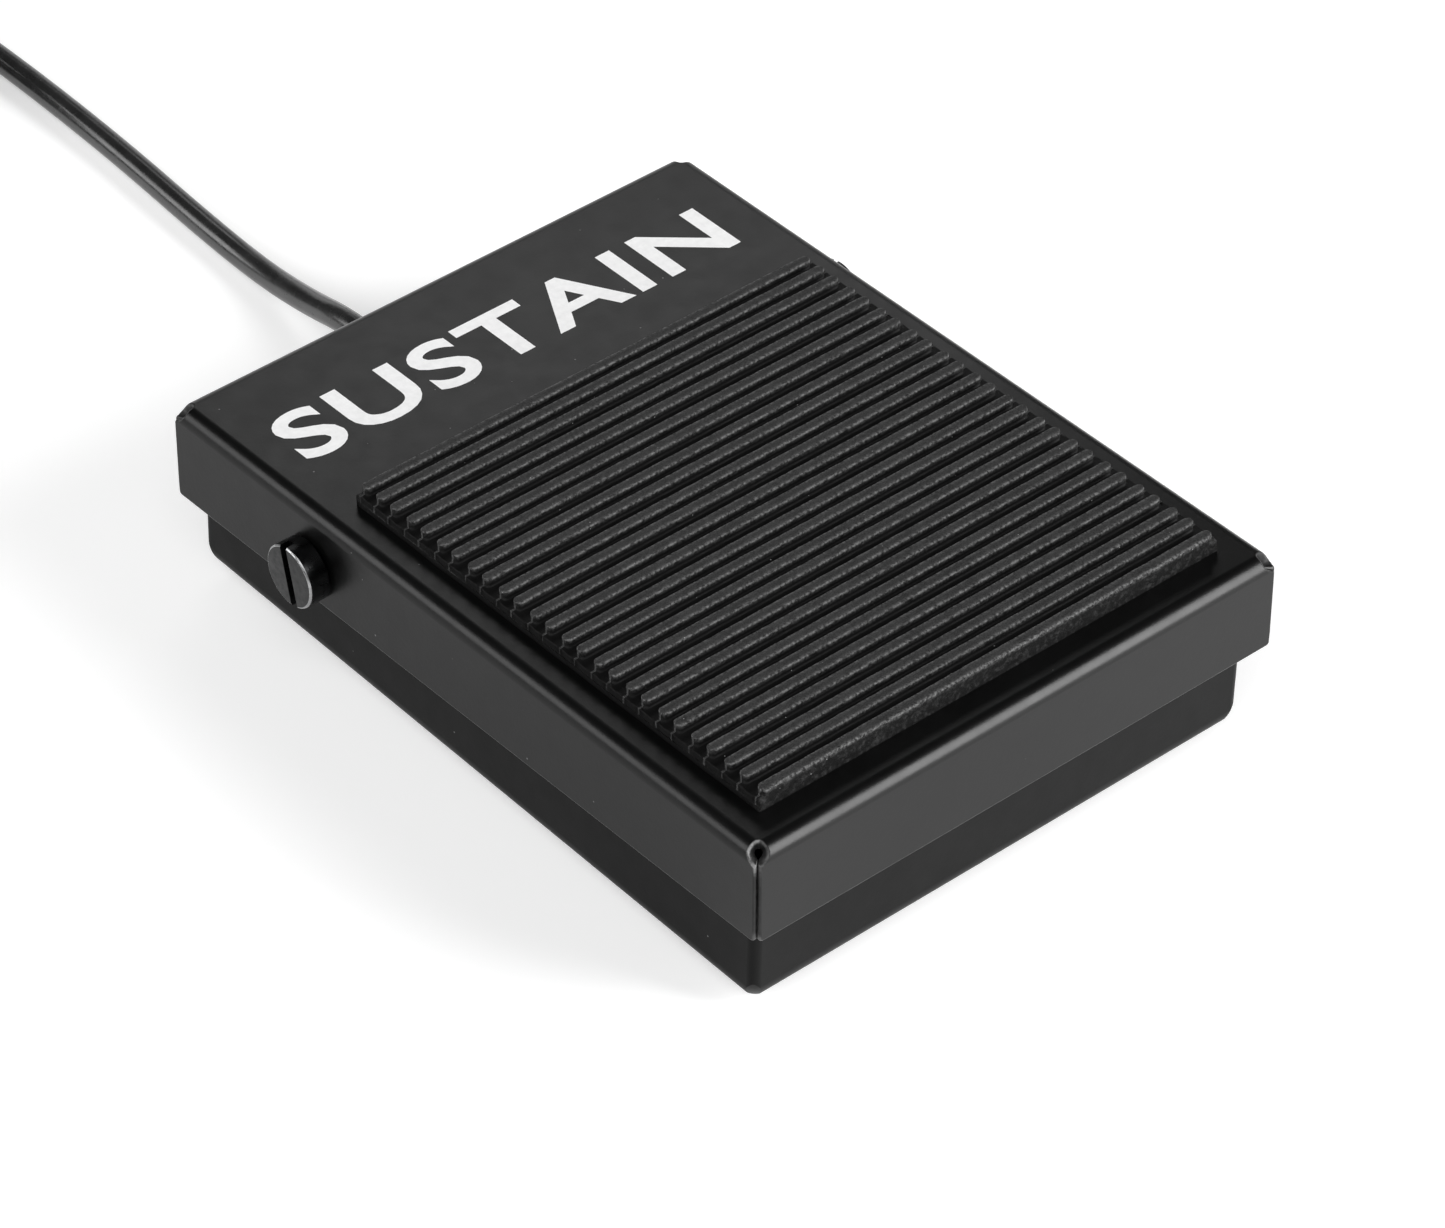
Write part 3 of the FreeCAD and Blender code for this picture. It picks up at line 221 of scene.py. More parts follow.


class Finish:
    """A Principled material and the nodes that feed it, in object space and metres."""

    def __init__(self, name, **sockets):
        self.material = bpy.data.materials.new(name)
        self.material.use_nodes = True
        self.tree = self.material.node_tree
        self.shader = self.tree.nodes["Principled BSDF"]
        coordinates = self.add("ShaderNodeTexCoord")
        self.place = coordinates.outputs["Object"]
        self.normal = coordinates.outputs["Normal"]
        for socket, value in sockets.items():
            self.shader.inputs[socket.replace("_", " ")].default_value = value

    def add(self, kind, **values):
        node = self.tree.nodes.new(kind)
        for key, value in values.items():
            setattr(node, key, value)
        return node

    def feed(self, socket, value):
        if isinstance(value, bpy.types.NodeSocket):
            self.tree.links.new(value, socket)
        else:
            socket.default_value = value

    def stretched(self, scale):
        mapping = self.add("ShaderNodeMapping")
        mapping.inputs["Scale"].default_value = scale
        self.feed(mapping.inputs["Vector"], self.place)
        return mapping.outputs["Vector"]

    def noise(self, size, detail=3.0, rough=0.55, stretch=None):
        """Noise between 0 and 1 whose lumps are about size metres across."""
        node = self.add("ShaderNodeTexNoise")
        node.inputs["Scale"].default_value = 1.0 / size
        node.inputs["Detail"].default_value = detail
        node.inputs["Roughness"].default_value = rough
        self.feed(node.inputs["Vector"], self.stretched(stretch) if stretch else self.place)
        return node.outputs["Fac"]

    def cells(self, size):
        """Distance to the nearest of scattered points about size metres apart."""
        node = self.add("ShaderNodeTexVoronoi")
        node.inputs["Scale"].default_value = 1.0 / size
        self.feed(node.inputs["Vector"], self.place)
        return node.outputs["Distance"]

    def span(self, value, low, high, to_low=0.0, to_high=1.0):
        """Map a value from one range to another, held at the ends."""
        node = self.add("ShaderNodeMapRange")
        numbers = {"From Min": low, "From Max": high, "To Min": to_low, "To Max": to_high}
        for socket, number in numbers.items():
            node.inputs[socket].default_value = number
        self.feed(node.inputs["Value"], value)
        return node.outputs["Result"]

    def sideways(self):
        """How far a face looks along X, from 0 to 1."""
        node = self.add("ShaderNodeSeparateXYZ")
        self.feed(node.inputs[0], self.normal)
        return self.math("ABSOLUTE", node.outputs["X"])

    def math(self, operation, a, b=0.0):
        node = self.add("ShaderNodeMath", operation=operation)
        self.feed(node.inputs[0], a)
        self.feed(node.inputs[1], b)
        return node.outputs[0]

    def mix(self, share, a, b):
        node = self.add("ShaderNodeMix", data_type="RGBA")
        self.feed(node.inputs["Factor"], share)
        self.feed(node.inputs["A"], a)
        self.feed(node.inputs["B"], b)
        return node.outputs["Result"]

    def attribute(self, name):
        return self.add("ShaderNodeAttribute", attribute_name=name).outputs["Fac"]

    def bump(self, height, depth, below=None):
        """Bump of that depth in metres."""
        node = self.add("ShaderNodeBump")
        node.inputs["Strength"].default_value = 1.0
        node.inputs["Distance"].default_value = depth
        self.feed(node.inputs["Height"], height)
        if below is not None:
            self.feed(node.inputs["Normal"], below)
        return node.outputs["Normal"]

    def finish(self, colour, roughness, normal=None):
        self.feed(self.shader.inputs["Base Color"], colour)
        self.feed(self.shader.inputs["Roughness"], roughness)
        if normal is not None:
            self.feed(self.shader.inputs["Normal"], normal)
        return self.material


def grey(level, tint=0.0):
    """A neutral colour, a little cool with a positive tint."""
    return (level * (1 - tint), level, level * (1 + tint), 1.0)


def powder_coat(name, dark, light, rough, shine):
    """Satin black powder coat: orange peel, faint clouds, arrises painted pale (partly worn coat, partly painted
    highlight), a few pale specks, and painted shade as less shine on the flanks.
    """
    f = Finish(name)
    # specular level drops on faces that look along X: painted shade on the side flanges
    f.feed(f.shader.inputs["Specular IOR Level"],
           f.span(f.sideways(), 0.6, 1.0, shine, shine * SHADED_FLANK_SHINE))
    cloud = f.noise(9 * MM, 4.0)
    specks = f.span(f.cells(2.3 * MM), 0.052, 0.034)
    sparse = f.span(f.noise(4 * MM, 1.0), 0.52, 0.56)
    speck = f.math("MULTIPLY", specks, sparse)
    colour = f.mix(f.span(cloud, 0.3, 0.7), grey(dark), grey(light))
    colour = f.mix(speck, colour, grey(0.14))
    # the worn attribute paints arrises and cut walls pale: partly worn coat, partly painted highlight and glints
    patchy_wear_and_glint = f.span(f.noise(0.8 * MM, 3.0, 0.6), 0.38, 0.60, 0.25, 1.0)
    worn = f.math("MULTIPLY", f.attribute("worn"), patchy_wear_and_glint)
    colour = f.mix(worn, colour, grey(0.55))
    peel = f.bump(f.noise(0.55 * MM, 2.0), 0.006 * MM)
    grain = f.bump(f.noise(0.13 * MM, 2.0), 0.0035 * MM, peel)
    dots = f.bump(speck, 0.03 * MM, grain)
    roughness = f.span(f.noise(3 * MM, 5.0), 0.3, 0.7, rough - 0.03, rough + 0.03)
    return f.finish(colour, roughness, dots)


def tread_rubber(name):
    """Black rubber: dusty grey rib tops, rib walls and grooves near-black as painted shade, pale arrises that are
    partly wear and partly painted highlight, and a rough cut front face.
    """
    f = Finish(name, Specular_IOR_Level=0.22)
    top = f.attribute("top")
    edge = f.attribute("edge")
    face = f.attribute("cut")
    fine = f.noise(0.16 * MM, 3.0, 0.7)
    patch = f.noise(2.2 * MM, 3.0)
    dust = f.span(f.math("ADD", fine, f.math("MULTIPLY", patch, 0.35)), 0.50, 0.95)
    tops = f.mix(dust, grey(0.009), grey(0.056))
    # rib walls and grooves take near-black: painted shade; the rib tops take the dusty grey
    colour = f.mix(top, grey(0.0020), tops)
    smear = f.math("MULTIPLY", f.span(f.noise(0.8 * MM, 4.0, 0.7), 0.5, 0.72), face)
    colour = f.mix(smear, colour, grey(0.035))
    # pale arrises, paler on the cut faces: partly wear, partly painted highlight
    worn = f.math("MULTIPLY", edge, f.span(f.noise(0.35 * MM, 3.0, 0.7), 0.40, 0.66))
    colour = f.mix(worn, colour, f.mix(face, grey(0.15), grey(0.34)))
    specks = f.span(f.cells(0.9 * MM), 0.075, 0.045)
    sparse = f.span(f.noise(1.6 * MM, 2.0), 0.60, 0.64)
    speck = f.math("MULTIPLY", specks, sparse)
    colour = f.mix(speck, colour, grey(0.42))
    rough_cut = f.bump(f.math("MULTIPLY", f.noise(0.45 * MM, 4.0, 0.65), face), 0.10 * MM)
    grain = f.bump(fine, 0.022 * MM, rough_cut)
    roughness = f.span(patch, 0.3, 0.7, 0.55, 0.75)
    return f.finish(colour, roughness, grain)


def plain_rubber(name, level, rough):
    """Matt rubber with mould grain and a little dust."""
    f = Finish(name, Specular_IOR_Level=0.4)
    colour = f.mix(f.span(f.noise(1.5 * MM, 5.0, 0.7), 0.35, 0.75), grey(level), grey(level * 2.2))
    grain = f.bump(f.noise(0.2 * MM, 3.0), 0.012 * MM)
    return f.finish(colour, f.span(f.noise(2 * MM), 0.3, 0.7, rough - 0.08, rough + 0.08), grain)


def moulded(name, base, rough, depth=0.004):
    """Moulded plastic: fine spark-eroded grain, faint flow variation and handling marks."""
    f = Finish(name, Specular_IOR_Level=0.5)
    paler = tuple(min(1.0, c * 1.35 + 0.004) for c in base[:3]) + (1.0,)
    colour = f.mix(f.span(f.noise(4 * MM, 4.0), 0.3, 0.75), base, paler)
    grain = f.bump(f.noise(0.18 * MM, 2.0), depth * MM)
    marks = f.span(f.noise(0.9 * MM, 4.0, 0.7, (1.0, 4.0, 1.0)), 0.35, 0.75, rough - 0.07, rough + 0.08)
    return f.finish(colour, marks, grain)


def metal(name, base, rough, worn=0.0, scratch=0.25):
    """Metal with fine drawn lines, cloudy tarnish and small marks."""
    f = Finish(name, Metallic=1.0)
    dull = tuple(c * 0.55 for c in base[:3]) + (1.0,)
    cloud = f.span(f.noise(1.4 * MM, 5.0, 0.65), 0.42 - worn, 0.80)
    colour = f.mix(cloud, base, dull)
    lines = f.noise(0.12 * MM, 2.0, 0.5, (1.0, scratch, 0.3))
    normal = f.bump(lines, 0.003 * MM)
    return f.finish(colour, f.span(f.noise(0.7 * MM, 4.0), 0.3, 0.75, rough - 0.06, rough + 0.14), normal)


def jacket(name):
    """Satin PVC jacket of the lead, with faint lengthwise scuffs."""
    f = Finish(name, Specular_IOR_Level=0.8)
    colour = f.mix(f.span(f.noise(3 * MM, 4.0), 0.35, 0.7), grey(0.012), grey(0.021))
    grain = f.bump(f.noise(0.25 * MM, 3.0), 0.003 * MM)
    long_wave = f.bump(f.noise(6 * MM, 1.0), 0.05 * MM, grain)
    return f.finish(colour, f.span(f.noise(1.2 * MM, 4.0, 0.65), 0.3, 0.75, 0.20, 0.30), long_wave)


def woven(name):
    """Black woven strap with a hooked face: crossing threads from two waves."""
    f = Finish(name, Specular_IOR_Level=0.25, Sheen_Weight=0.3, Sheen_Roughness=0.5)
    wave_a = f.add("ShaderNodeTexWave", wave_type="BANDS", bands_direction="Z")
    wave_b = f.add("ShaderNodeTexWave", wave_type="BANDS", bands_direction="DIAGONAL")
    for wave in (wave_a, wave_b):
        wave.inputs["Scale"].default_value = 1.0 / (3.2 * MM)
        wave.inputs["Distortion"].default_value = 0.8
        f.feed(wave.inputs["Vector"], f.place)
    threads = f.math("MAXIMUM", wave_a.outputs["Fac"], wave_b.outputs["Fac"])
    fuzz = f.noise(0.2 * MM, 3.0, 0.7)
    height = f.math("ADD", threads, fuzz)
    colour = f.mix(f.span(height, 0.6, 1.7), grey(0.006), grey(0.035))
    return f.finish(colour, f.span(fuzz, 0.3, 0.7, 0.75, 0.95), f.bump(height, 0.06 * MM))


def print_ink(name):
    """White screen print, slightly uneven, with a faint tooth."""
    f = Finish(name, Specular_IOR_Level=0.4)
    colour = f.mix(f.span(f.noise(0.9 * MM, 4.0), 0.3, 0.75), grey(0.94), grey(0.84))
    roughness = f.span(f.noise(0.5 * MM), 0.3, 0.7, 0.45, 0.6)
    return f.finish(colour, roughness, f.bump(f.noise(0.14 * MM), 0.004 * MM))


FINISHES = {name: make(name, *values) for name, make, *values in (
    ("cover_paint", powder_coat, 0.0012, 0.0022, 0.32, 0.33),
    ("tray_paint", powder_coat, 0.0015, 0.0030, 0.42, 0.13),
    ("tread_rubber", tread_rubber),
    ("mat_rubber", plain_rubber, 0.012, 0.7),
    ("bumper_rubber", plain_rubber, 0.014, 0.6),
    ("soft_black", moulded, grey(0.011), 0.45),
    ("screw_steel", metal, grey(0.17, 0.02), 0.40, 0.12),
    ("zinc_steel", metal, grey(0.58, 0.02), 0.28),
    ("spring_steel", metal, grey(0.42, 0.01), 0.26),
    ("brass_tag", metal, (0.62, 0.46, 0.20, 1.0), 0.28),
    ("solder", metal, grey(0.66, 0.01), 0.22),
    ("plug_metal", metal, (0.72, 0.71, 0.68, 1.0), 0.14, 0.0, 0.6),
    ("nylon", moulded, (0.62, 0.60, 0.54, 1.0), 0.42),
    ("switch_body", moulded, grey(0.018), 0.5),
    ("switch_plunger", moulded, (0.45, 0.04, 0.03, 1.0), 0.4),
    ("plug_black", moulded, grey(0.010), 0.38, 0.006),
    ("lead_red", moulded, (0.42, 0.02, 0.02, 1.0), 0.35),
    ("lead_white", moulded, (0.70, 0.69, 0.66, 1.0), 0.35),
    ("cord_black", jacket),
    ("tie_fabric", woven),
)}
SCREW_SIDE = metal("screw_side", grey(0.045, 0.02), 0.30)
SCREW_FACE = metal("screw_face", grey(0.046, 0.01), 0.38, 0.16)
SCREW_RIM = metal("screw_rim", grey(0.34, 0.01), 0.25)
PRINT_INK = print_ink("print_ink")


def dress_frame():
    """Give every CAD node the material of its slot."""
    for part in frame["record"]["subparts"]:
        materials = frame["nodes"][part["node"]].data.materials
        materials.clear()
        materials.append(FINISHES[part["material_slot"]])


# ---------------------------------------------------------------- lead
def coil_points():
    """Control points of the wound turns: four flat layers, wound in, out, in and out again."""
    layers = [COIL_RADII, COIL_RADII[::-1], COIL_RADII, COIL_RADII[::-1][:3]]
    places = [(r, level) for level, radii in enumerate(layers) for r in radii]
    per_turn = 18
    swell = 8.0 / (6.0 + 2.0 * math.cos(2 * math.pi / per_turn))   # a spline runs inside its points
    cross_from = 0.60                                              # share of a turn in its own lane
    tie_reach = 0.45                                               # radians pressed by the tie
    tie_press = 0.09
    tie_lift = 0.5 * MM
    points = []
    for k in range(per_turn * (len(places) - 1) + per_turn // 4):
        turn, step = divmod(k, per_turn)
        t = max(0.0, (step / per_turn - cross_from) / (1.0 - cross_from))
        t = t * t * (3 - 2 * t)
        here = places[turn]
        after = places[min(turn + 1, len(places) - 1)]
        radius = (here[0] * (1 - t) + after[0] * t) * MM
        level = here[1] * (1 - t) + after[1] * t
        angle = 2 * math.pi * k / per_turn
        loose = 0.12 * MM * noise.noise(Vector((k * 0.31, 0.0, 7.0)))
        squeeze = math.exp(-(math.remainder(angle - TIE_ANGLE, 2 * math.pi) / tie_reach) ** 2)
        z = CORD_RADIUS + level * 2 * CORD_RADIUS * (1 - tie_press * squeeze) + tie_lift * squeeze
        reach = (radius + loose) * swell
        points.append((COIL_CENTRE.x + reach * math.cos(angle),
                       COIL_CENTRE.y + reach * math.sin(angle), z))
    return points


def lead():
    """The whole lead as one spline: from the boot along the floor, round the coil and out to the plug."""
    end = Vector(CABLE_END_ROUTE[-1])
    heading = (end - Vector(CABLE_END_ROUTE[-2])).normalized()
    into_plug = [tuple(end + heading * reach) for reach in (0.010, 0.020)]
    route = CABLE_ROUTE + coil_points() + CABLE_END_ROUTE + into_plug
    curve = bpy.data.curves.new("lead", "CURVE")
    curve.dimensions = "3D"
    curve.resolution_u = 6
    curve.bevel_depth = CORD_RADIUS
    curve.bevel_resolution = 5
    curve.use_fill_caps = True
    spline = curve.splines.new("NURBS")
    spline.points.add(len(route) - 1)
    for point, place in zip(spline.points, route):
        point.co = (*place, 1.0)
    spline.order_u = 3
    spline.use_endpoint_u = True
    piece = link("lead", curve)
    curve.materials.append(FINISHES["cord_black"])
    return put(piece, "root", "cord_black", "cable_lead", "cable_coil", "cable_end")


def coil_tie():
    """Hook-and-loop strap round the turns: a closed strip with an overlapping tail."""
    gap = 0.12
    inner = COIL_RADII[-1] - 1.6 - gap
    outer = COIL_RADII[0] + 1.6 + gap
    bottom = 0.55
    top = 12.9 + gap
    over = 1.05  # the tail's height above the loop
    loop = rounded_line([(inner, 4.0), (inner, bottom), (outer, bottom), (outer, top), (inner, top),
                         (inner, 4.0)], 1.6, 6)
    beside = outer + 1.0
    tail = [(beside, 7.0), (beside, 10.0)]
    tail += rounded_line([(beside, 10.5), (beside, top + over), (inner + gap + 4.0, top + over)], 1.9, 6)
    return strap("coil_tie_loop", loop, 0.75, "coil_tie"), strap("coil_tie_tail", tail, 0.7)


def strap(name, line, thick, *nodes):
    """Flat strip along a line in the coil's radial plane, at the tie's angle."""
    half_wide = 5.0
    section = ((-1, 0.0), (-0.97, 0.35), (-1, 0.7), (-0.9, 1.0), (0.0, 1.06),      # side, lift
               (0.9, 1.0), (1, 0.7), (0.97, 0.35), (1, 0.0), (0.0, 0.0))
    centre = Vector((sum(p[0] for p in line) / len(line), 6.4))
    rings = []
    for i, (r, z) in enumerate(line):
        before = line[max(i - 1, 0)]
        after = line[min(i + 1, len(line) - 1)]
        along = Vector((after[0] - before[0], after[1] - before[1])).normalized()
        outward = Vector((along.y, -along.x))
        if outward.dot(Vector((r, z)) - centre) < 0:
            outward = -outward
        ring = []
        for side, lift in section:
            ripple = 0.12 * noise.noise(Vector((i * 0.45, side * 3.0, thick)))
            push = max(lift * thick + ripple * lift, 0.0)
            ring.append((r + outward.x * push, side * (half_wide + ripple),
                         max(z + outward.y * push, 0.02)))
        rings.append(ring)
    place = Matrix.Translation(COIL_CENTRE) @ Matrix.Rotation(TIE_ANGLE, 4, "Z") @ Matrix.Scale(MM, 4)
    piece = new_piece(name, *skin(rings, capped=True), FINISHES["tie_fabric"], place)
    return put(piece, "root", "tie_fabric", *nodes)


def plug():
    """The jack plug: flexible boot, ribbed grip, collar and sleeve, black ring and tip."""
    end = Vector(CABLE_END_ROUTE[-1])
    heading = end - Vector(CABLE_END_ROUTE[-2])
    place = Matrix.Translation(end) @ Matrix.Rotation(math.atan2(heading.y, heading.x), 4, "Z")

    tail = [(0.0, 0.0), (0.0, 2.2)]
    for k in range(5):
        x = 1.2 + k * 2.3
        r = 2.2 + 1.4 * x / 13.0
        tail += [(x, r), (x + 0.25, r - 0.45), (x + 0.95, r - 0.40), (x + 1.2, r + 0.12)]
    tail += [(13.0, 3.6), (13.0, 0.0)]

    grip = [(13.0, 0.0), (13.0, 5.0), (14.4, 6.0), (19.5, 6.0)]
    for x in (20.0, 24.0, 28.0):
        grip += [(x, 6.0), (x + 0.1, 5.4), (x + 1.5, 5.4), (x + 1.6, 6.0)]
    grip += [(33.0, 6.0), (36.0, 5.9), (37.0, 5.0), (37.0, 0.0)]

    sleeve = [(37.0, 0.0), (37.0, 4.6), (39.2, 4.6), (39.2, 3.175), (61.0, 3.175), (61.0, 0.0)]
    ring = [(61.0, 0.0), (61.0, 2.9), (62.3, 2.9), (62.3, 0.0)]
    tip = [(62.3, 0.0), (62.3, 2.82), (63.3, 2.82), (65.3, 2.05), (66.5, 2.05), (67.7, 2.82), (70.9, 1.35),
           (71.4, 0.0)]

    made = []
    for name, node, profile, soften, slot in (
            ("plug_boot_ribbed", "plug_boot", tail, 0.22, "soft_black"),
            ("plug_grip", "plug_body", grip, 0.35, "plug_black"),
            ("plug_shaft", "plug_sleeve", sleeve, 0.18, "plug_metal"),
            ("plug_ring", "plug_insulator", ring, 0.08, "plug_black"),
            ("plug_point", "plug_tip", tip, 0.30, "plug_metal")):
        piece = lathe(name, rounded_line(profile, soften), FINISHES[slot], place, 72)
        made.append(put(piece, "root", slot, node))
    return made


def boot():
    """Strain relief: a flange on each side of the rear wall and a slotted, tapered tail round the lead."""
    low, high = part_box("strain_relief")
    start = low.y / MM
    end = high.y / MM
    wall = start + 1.6  # inner face of the tray's rear wall
    base = wall + 2.6  # where the outer flange ends
    bore = 1.62
    profile = [(start, bore), (start, 3.1), (wall, 3.1), (wall, 2.9), (wall + 1.2, 2.9), (wall + 1.2, 3.7),
               (base, 3.7), (base, 3.1)]
    rings = 5
    slot_depth = 0.5
    first = wall + 3.4
    step = (end - first - 0.6) / rings
    for k in range(rings):
        x = first + k * step
        r = 3.1 - 0.95 * (x - base) / (end - base)
        profile += [(x, r), (x + 0.2, r - slot_depth), (first + (k + 0.45) * step, r - slot_depth),
                    (first + (k + 0.55) * step, r)]
    profile += [(end, 2.15), (end, bore), (start, bore)]
    place = Matrix.Translation((0, 0, EXIT_Z)) @ Matrix.Rotation(math.pi / 2, 4, "Z")
    piece = lathe("lead_boot", rounded_line(profile, 0.18), FINISHES["soft_black"], place, 64)
    return put(piece, "root", "soft_black", "strain_relief")


# ---------------------------------------------------------------- foot plate
BEND_END = COVER_BEND * math.pi / 2                      # outer arc of a bend, up to its flange
FLANGE_END = BEND_END + COVER_HEIGHT - COVER_BEND
SIDE_LINE = COVER_WIDTH / 2 - COVER_BEND                 # where the bends start
REAR_LINE = HINGE_TO_REAR - COVER_BEND
FRONT_LINE = COVER_LENGTH - HINGE_TO_REAR - COVER_BEND
BORE_OUT = SIDE_LINE + BEND_END + TOP_Z - COVER_BEND     # hinge bore, from the middle of the blank
SEAM_HALF = 0.44
SEAM_SHUT = 0.05                                         # what is left of it below the groove
SEAM_DEPTH = 0.45
SEAM_END = COVER_BEND - SEAM_HALF                        # end of a flange, beside the corner seam
NOTCH = -0.07                                            # the relief notch, just past the bend lines
NOTCH_HIGH = 1.28                                        # its round lower part, along the flange
NOTCH_LOW = 2.73
NOTCH_START = 0.30                                       # radians where that part leaves the seam
NECK_RADIUS = 0.42                                       # rounding from the seam into the notch
THROAT_RADIUS = 0.5                                      # rounding of the notch's innermost corner
FLANGE_CORNER = 0.5

EDGE_ARRIS = 0.24                                        # roundings of the sheet's upper arris
CORNER_ARRIS = 0.34
SEAM_ARRIS = 0.27
NECK_ARRIS = 0.28
NOTCH_ARRIS = 0.26
BORE_ARRIS = 0.15
ARRIS_STEPS = 5
EDGE_WEAR_AND_GLINT = 0.14                                         # how pale the arrises are painted: worn coat and painted highlight
# pale seam sides: wear and painted highlight
SEAM_WEAR_AND_GLINT = 0.02
WALL_WEAR_AND_GLINT = 0.04                                         # and on the cut walls, painted pale as glints inside the notches
ARRIS_WEAR_AND_GLINT = (0.4, 1.0, 1.0, 1.0, 0.7)                   # share of it across an arris
CORNERS = ((1, 1, 0.05, 0.05), (-1, 1, 0.05, 0.08),      # side, end, wear and painted glint of the notch on both flanges
           (-1, -1, 0.42, 0.12), (1, -1, 0.05, 0.06))

BEND_ROWS = 12                                           # rows of points along each bend
TOP_ROWS = 12
ROW_STEP = 6.0
EDGE_STEP = 5.0


def bend_line(end):
    """Where the rear bend (end 1) or the front bend (end -1) starts, from the hinge axis."""
    return REAR_LINE if end > 0 else FRONT_LINE


def half_corner(notch_wear_and_glint):
    """Blank's edge from a flange's lower edge to the middle of its notch, as (p, q, arris radius, wear and painted
    glint).
    """
    out = []
    for k in range(8):
        t = k * math.pi / 14
        out.append((FLANGE_END - FLANGE_CORNER * (1 - math.cos(t)),
                    SEAM_END - FLANGE_CORNER * (1 - math.sin(t)),
                    EDGE_ARRIS + (CORNER_ARRIS - EDGE_ARRIS) * k / 7, EDGE_WEAR_AND_GLINT))
    steps = 8
    start = FLANGE_END - FLANGE_CORNER
    top = NOTCH_LOW + NECK_RADIUS
    for k in range(1, steps):
        out.append((start + (top - start) * k / steps, SEAM_END, SEAM_ARRIS, SEAM_WEAR_AND_GLINT))
    for k in range(6):
        t = k * math.pi / 10
        out.append((top - NECK_RADIUS * math.sin(t), SEAM_END - NECK_RADIUS * (1 - math.cos(t)),
                    NECK_ARRIS, notch_wear_and_glint))
    for k in range(1, 9):
        t = NOTCH_START + (math.pi / 2 - NOTCH_START) * k / 8
        out.append((NOTCH_HIGH + (NOTCH_LOW - NOTCH_HIGH) * math.cos(t),
                    SEAM_END - (SEAM_END - NOTCH) * math.sin(t), NOTCH_ARRIS, notch_wear_and_glint))
    for p in (1.05, 0.8, 0.6):
        out.append((p, NOTCH, NOTCH_ARRIS, notch_wear_and_glint))
    for k in range(4):
        t = k * math.pi / 12
        out.append((NOTCH + THROAT_RADIUS * (1 - math.sin(t)), NOTCH + THROAT_RADIUS * (1 - math.cos(t)),
                    NOTCH_ARRIS, notch_wear_and_glint))
    return out


def blank_outline():
    """Whole edge of the flat blank, counter-clockwise, as (u, v, arris radius, wear and painted glint)."""
    outline = []
    for side, end, *wears_and_glints in CORNERS:
        near, far = (half_corner(wear_and_glint) for wear_and_glint in wears_and_glints)
        corner = near + [(q, p, r, wear_and_glint) for p, q, r, wear_and_glint in reversed(far[:-1])]
        points = [(side * (SIDE_LINE + p), end * (bend_line(end) + q), r, wear_and_glint) for p, q, r, wear_and_glint in corner]
        outline += points if side * end > 0 else points[::-1]
    divided = []
    for here, after in zip(outline, outline[1:] + outline[:1]):
        divided.append(here)
        reach = math.hypot(after[0] - here[0], after[1] - here[1])
        for k in range(1, int(reach // EDGE_STEP)):
            t = k / (reach // EDGE_STEP)
            divided.append((here[0] + (after[0] - here[0]) * t, here[1] + (after[1] - here[1]) * t,
                            EDGE_ARRIS, here[3]))
    return divided


def bore_outline(side):
    """Hinge bore in a side flange, clockwise."""
    return [(side * BORE_OUT + HINGE_BORE * math.cos(t), -HINGE_BORE * math.sin(t), BORE_ARRIS, 0.0)
            for t in (2 * math.pi * k / 48 for k in range(48))]


def outward_turns(loop):
    """Unit vector out of the sheet, in its plane, at each point of an edge loop."""
    out = []
    for i, here in enumerate(loop):
        before = loop[i - 1]
        after = loop[(i + 1) % len(loop)]
        first = Vector((here[1] - before[1], before[0] - here[0])).normalized()
        second = Vector((after[1] - here[1], here[0] - after[0])).normalized()
        out.append((first + second).normalized())
    return out


def fold(u, v, w, normal):
    """Place and normal on the folded plate of a point of the flat blank, w above its outer face."""
    side = 1 if u > 0 else -1
    end = 1 if v > (REAR_LINE - FRONT_LINE) / 2 else -1
    line = bend_line(end)
    p = abs(u) - SIDE_LINE
    q = end * v - line
    along, across = (p, q) if p > q else (q, p)
    if along <= 0:
        return Vector((u, v, TOP_Z + w)), Vector(normal)
    if across > NOTCH:
        gap = SEAM_HALF + (SEAM_SHUT - SEAM_HALF) * min(1.0, -w / SEAM_DEPTH)
        across += (w + SEAM_HALF - gap) * (across - NOTCH) / (SEAM_END - NOTCH)
    past_bend_line = across > NOTCH
    turn = min(along / COVER_BEND, math.pi / 2)
    sin, cos = math.sin(turn), math.cos(turn)
    out = (COVER_BEND + w) * sin
    height = TOP_Z - COVER_BEND + (COVER_BEND + w) * cos - max(0.0, along - BEND_END)
    if p > q:
        lean = normal[0] * side
        place = (side * (SIDE_LINE + out), end * (line + across) if past_bend_line else v, height)
        turned = (side * (lean * cos + normal[2] * sin), normal[1], normal[2] * cos - lean * sin)
    else:
        lean = normal[1] * end
        place = (side * (SIDE_LINE + across) if past_bend_line else u, end * (line + out), height)
        turned = (normal[0], end * (lean * cos + normal[2] * sin), normal[2] * cos - lean * sin)
    return Vector(place), Vector(turned)


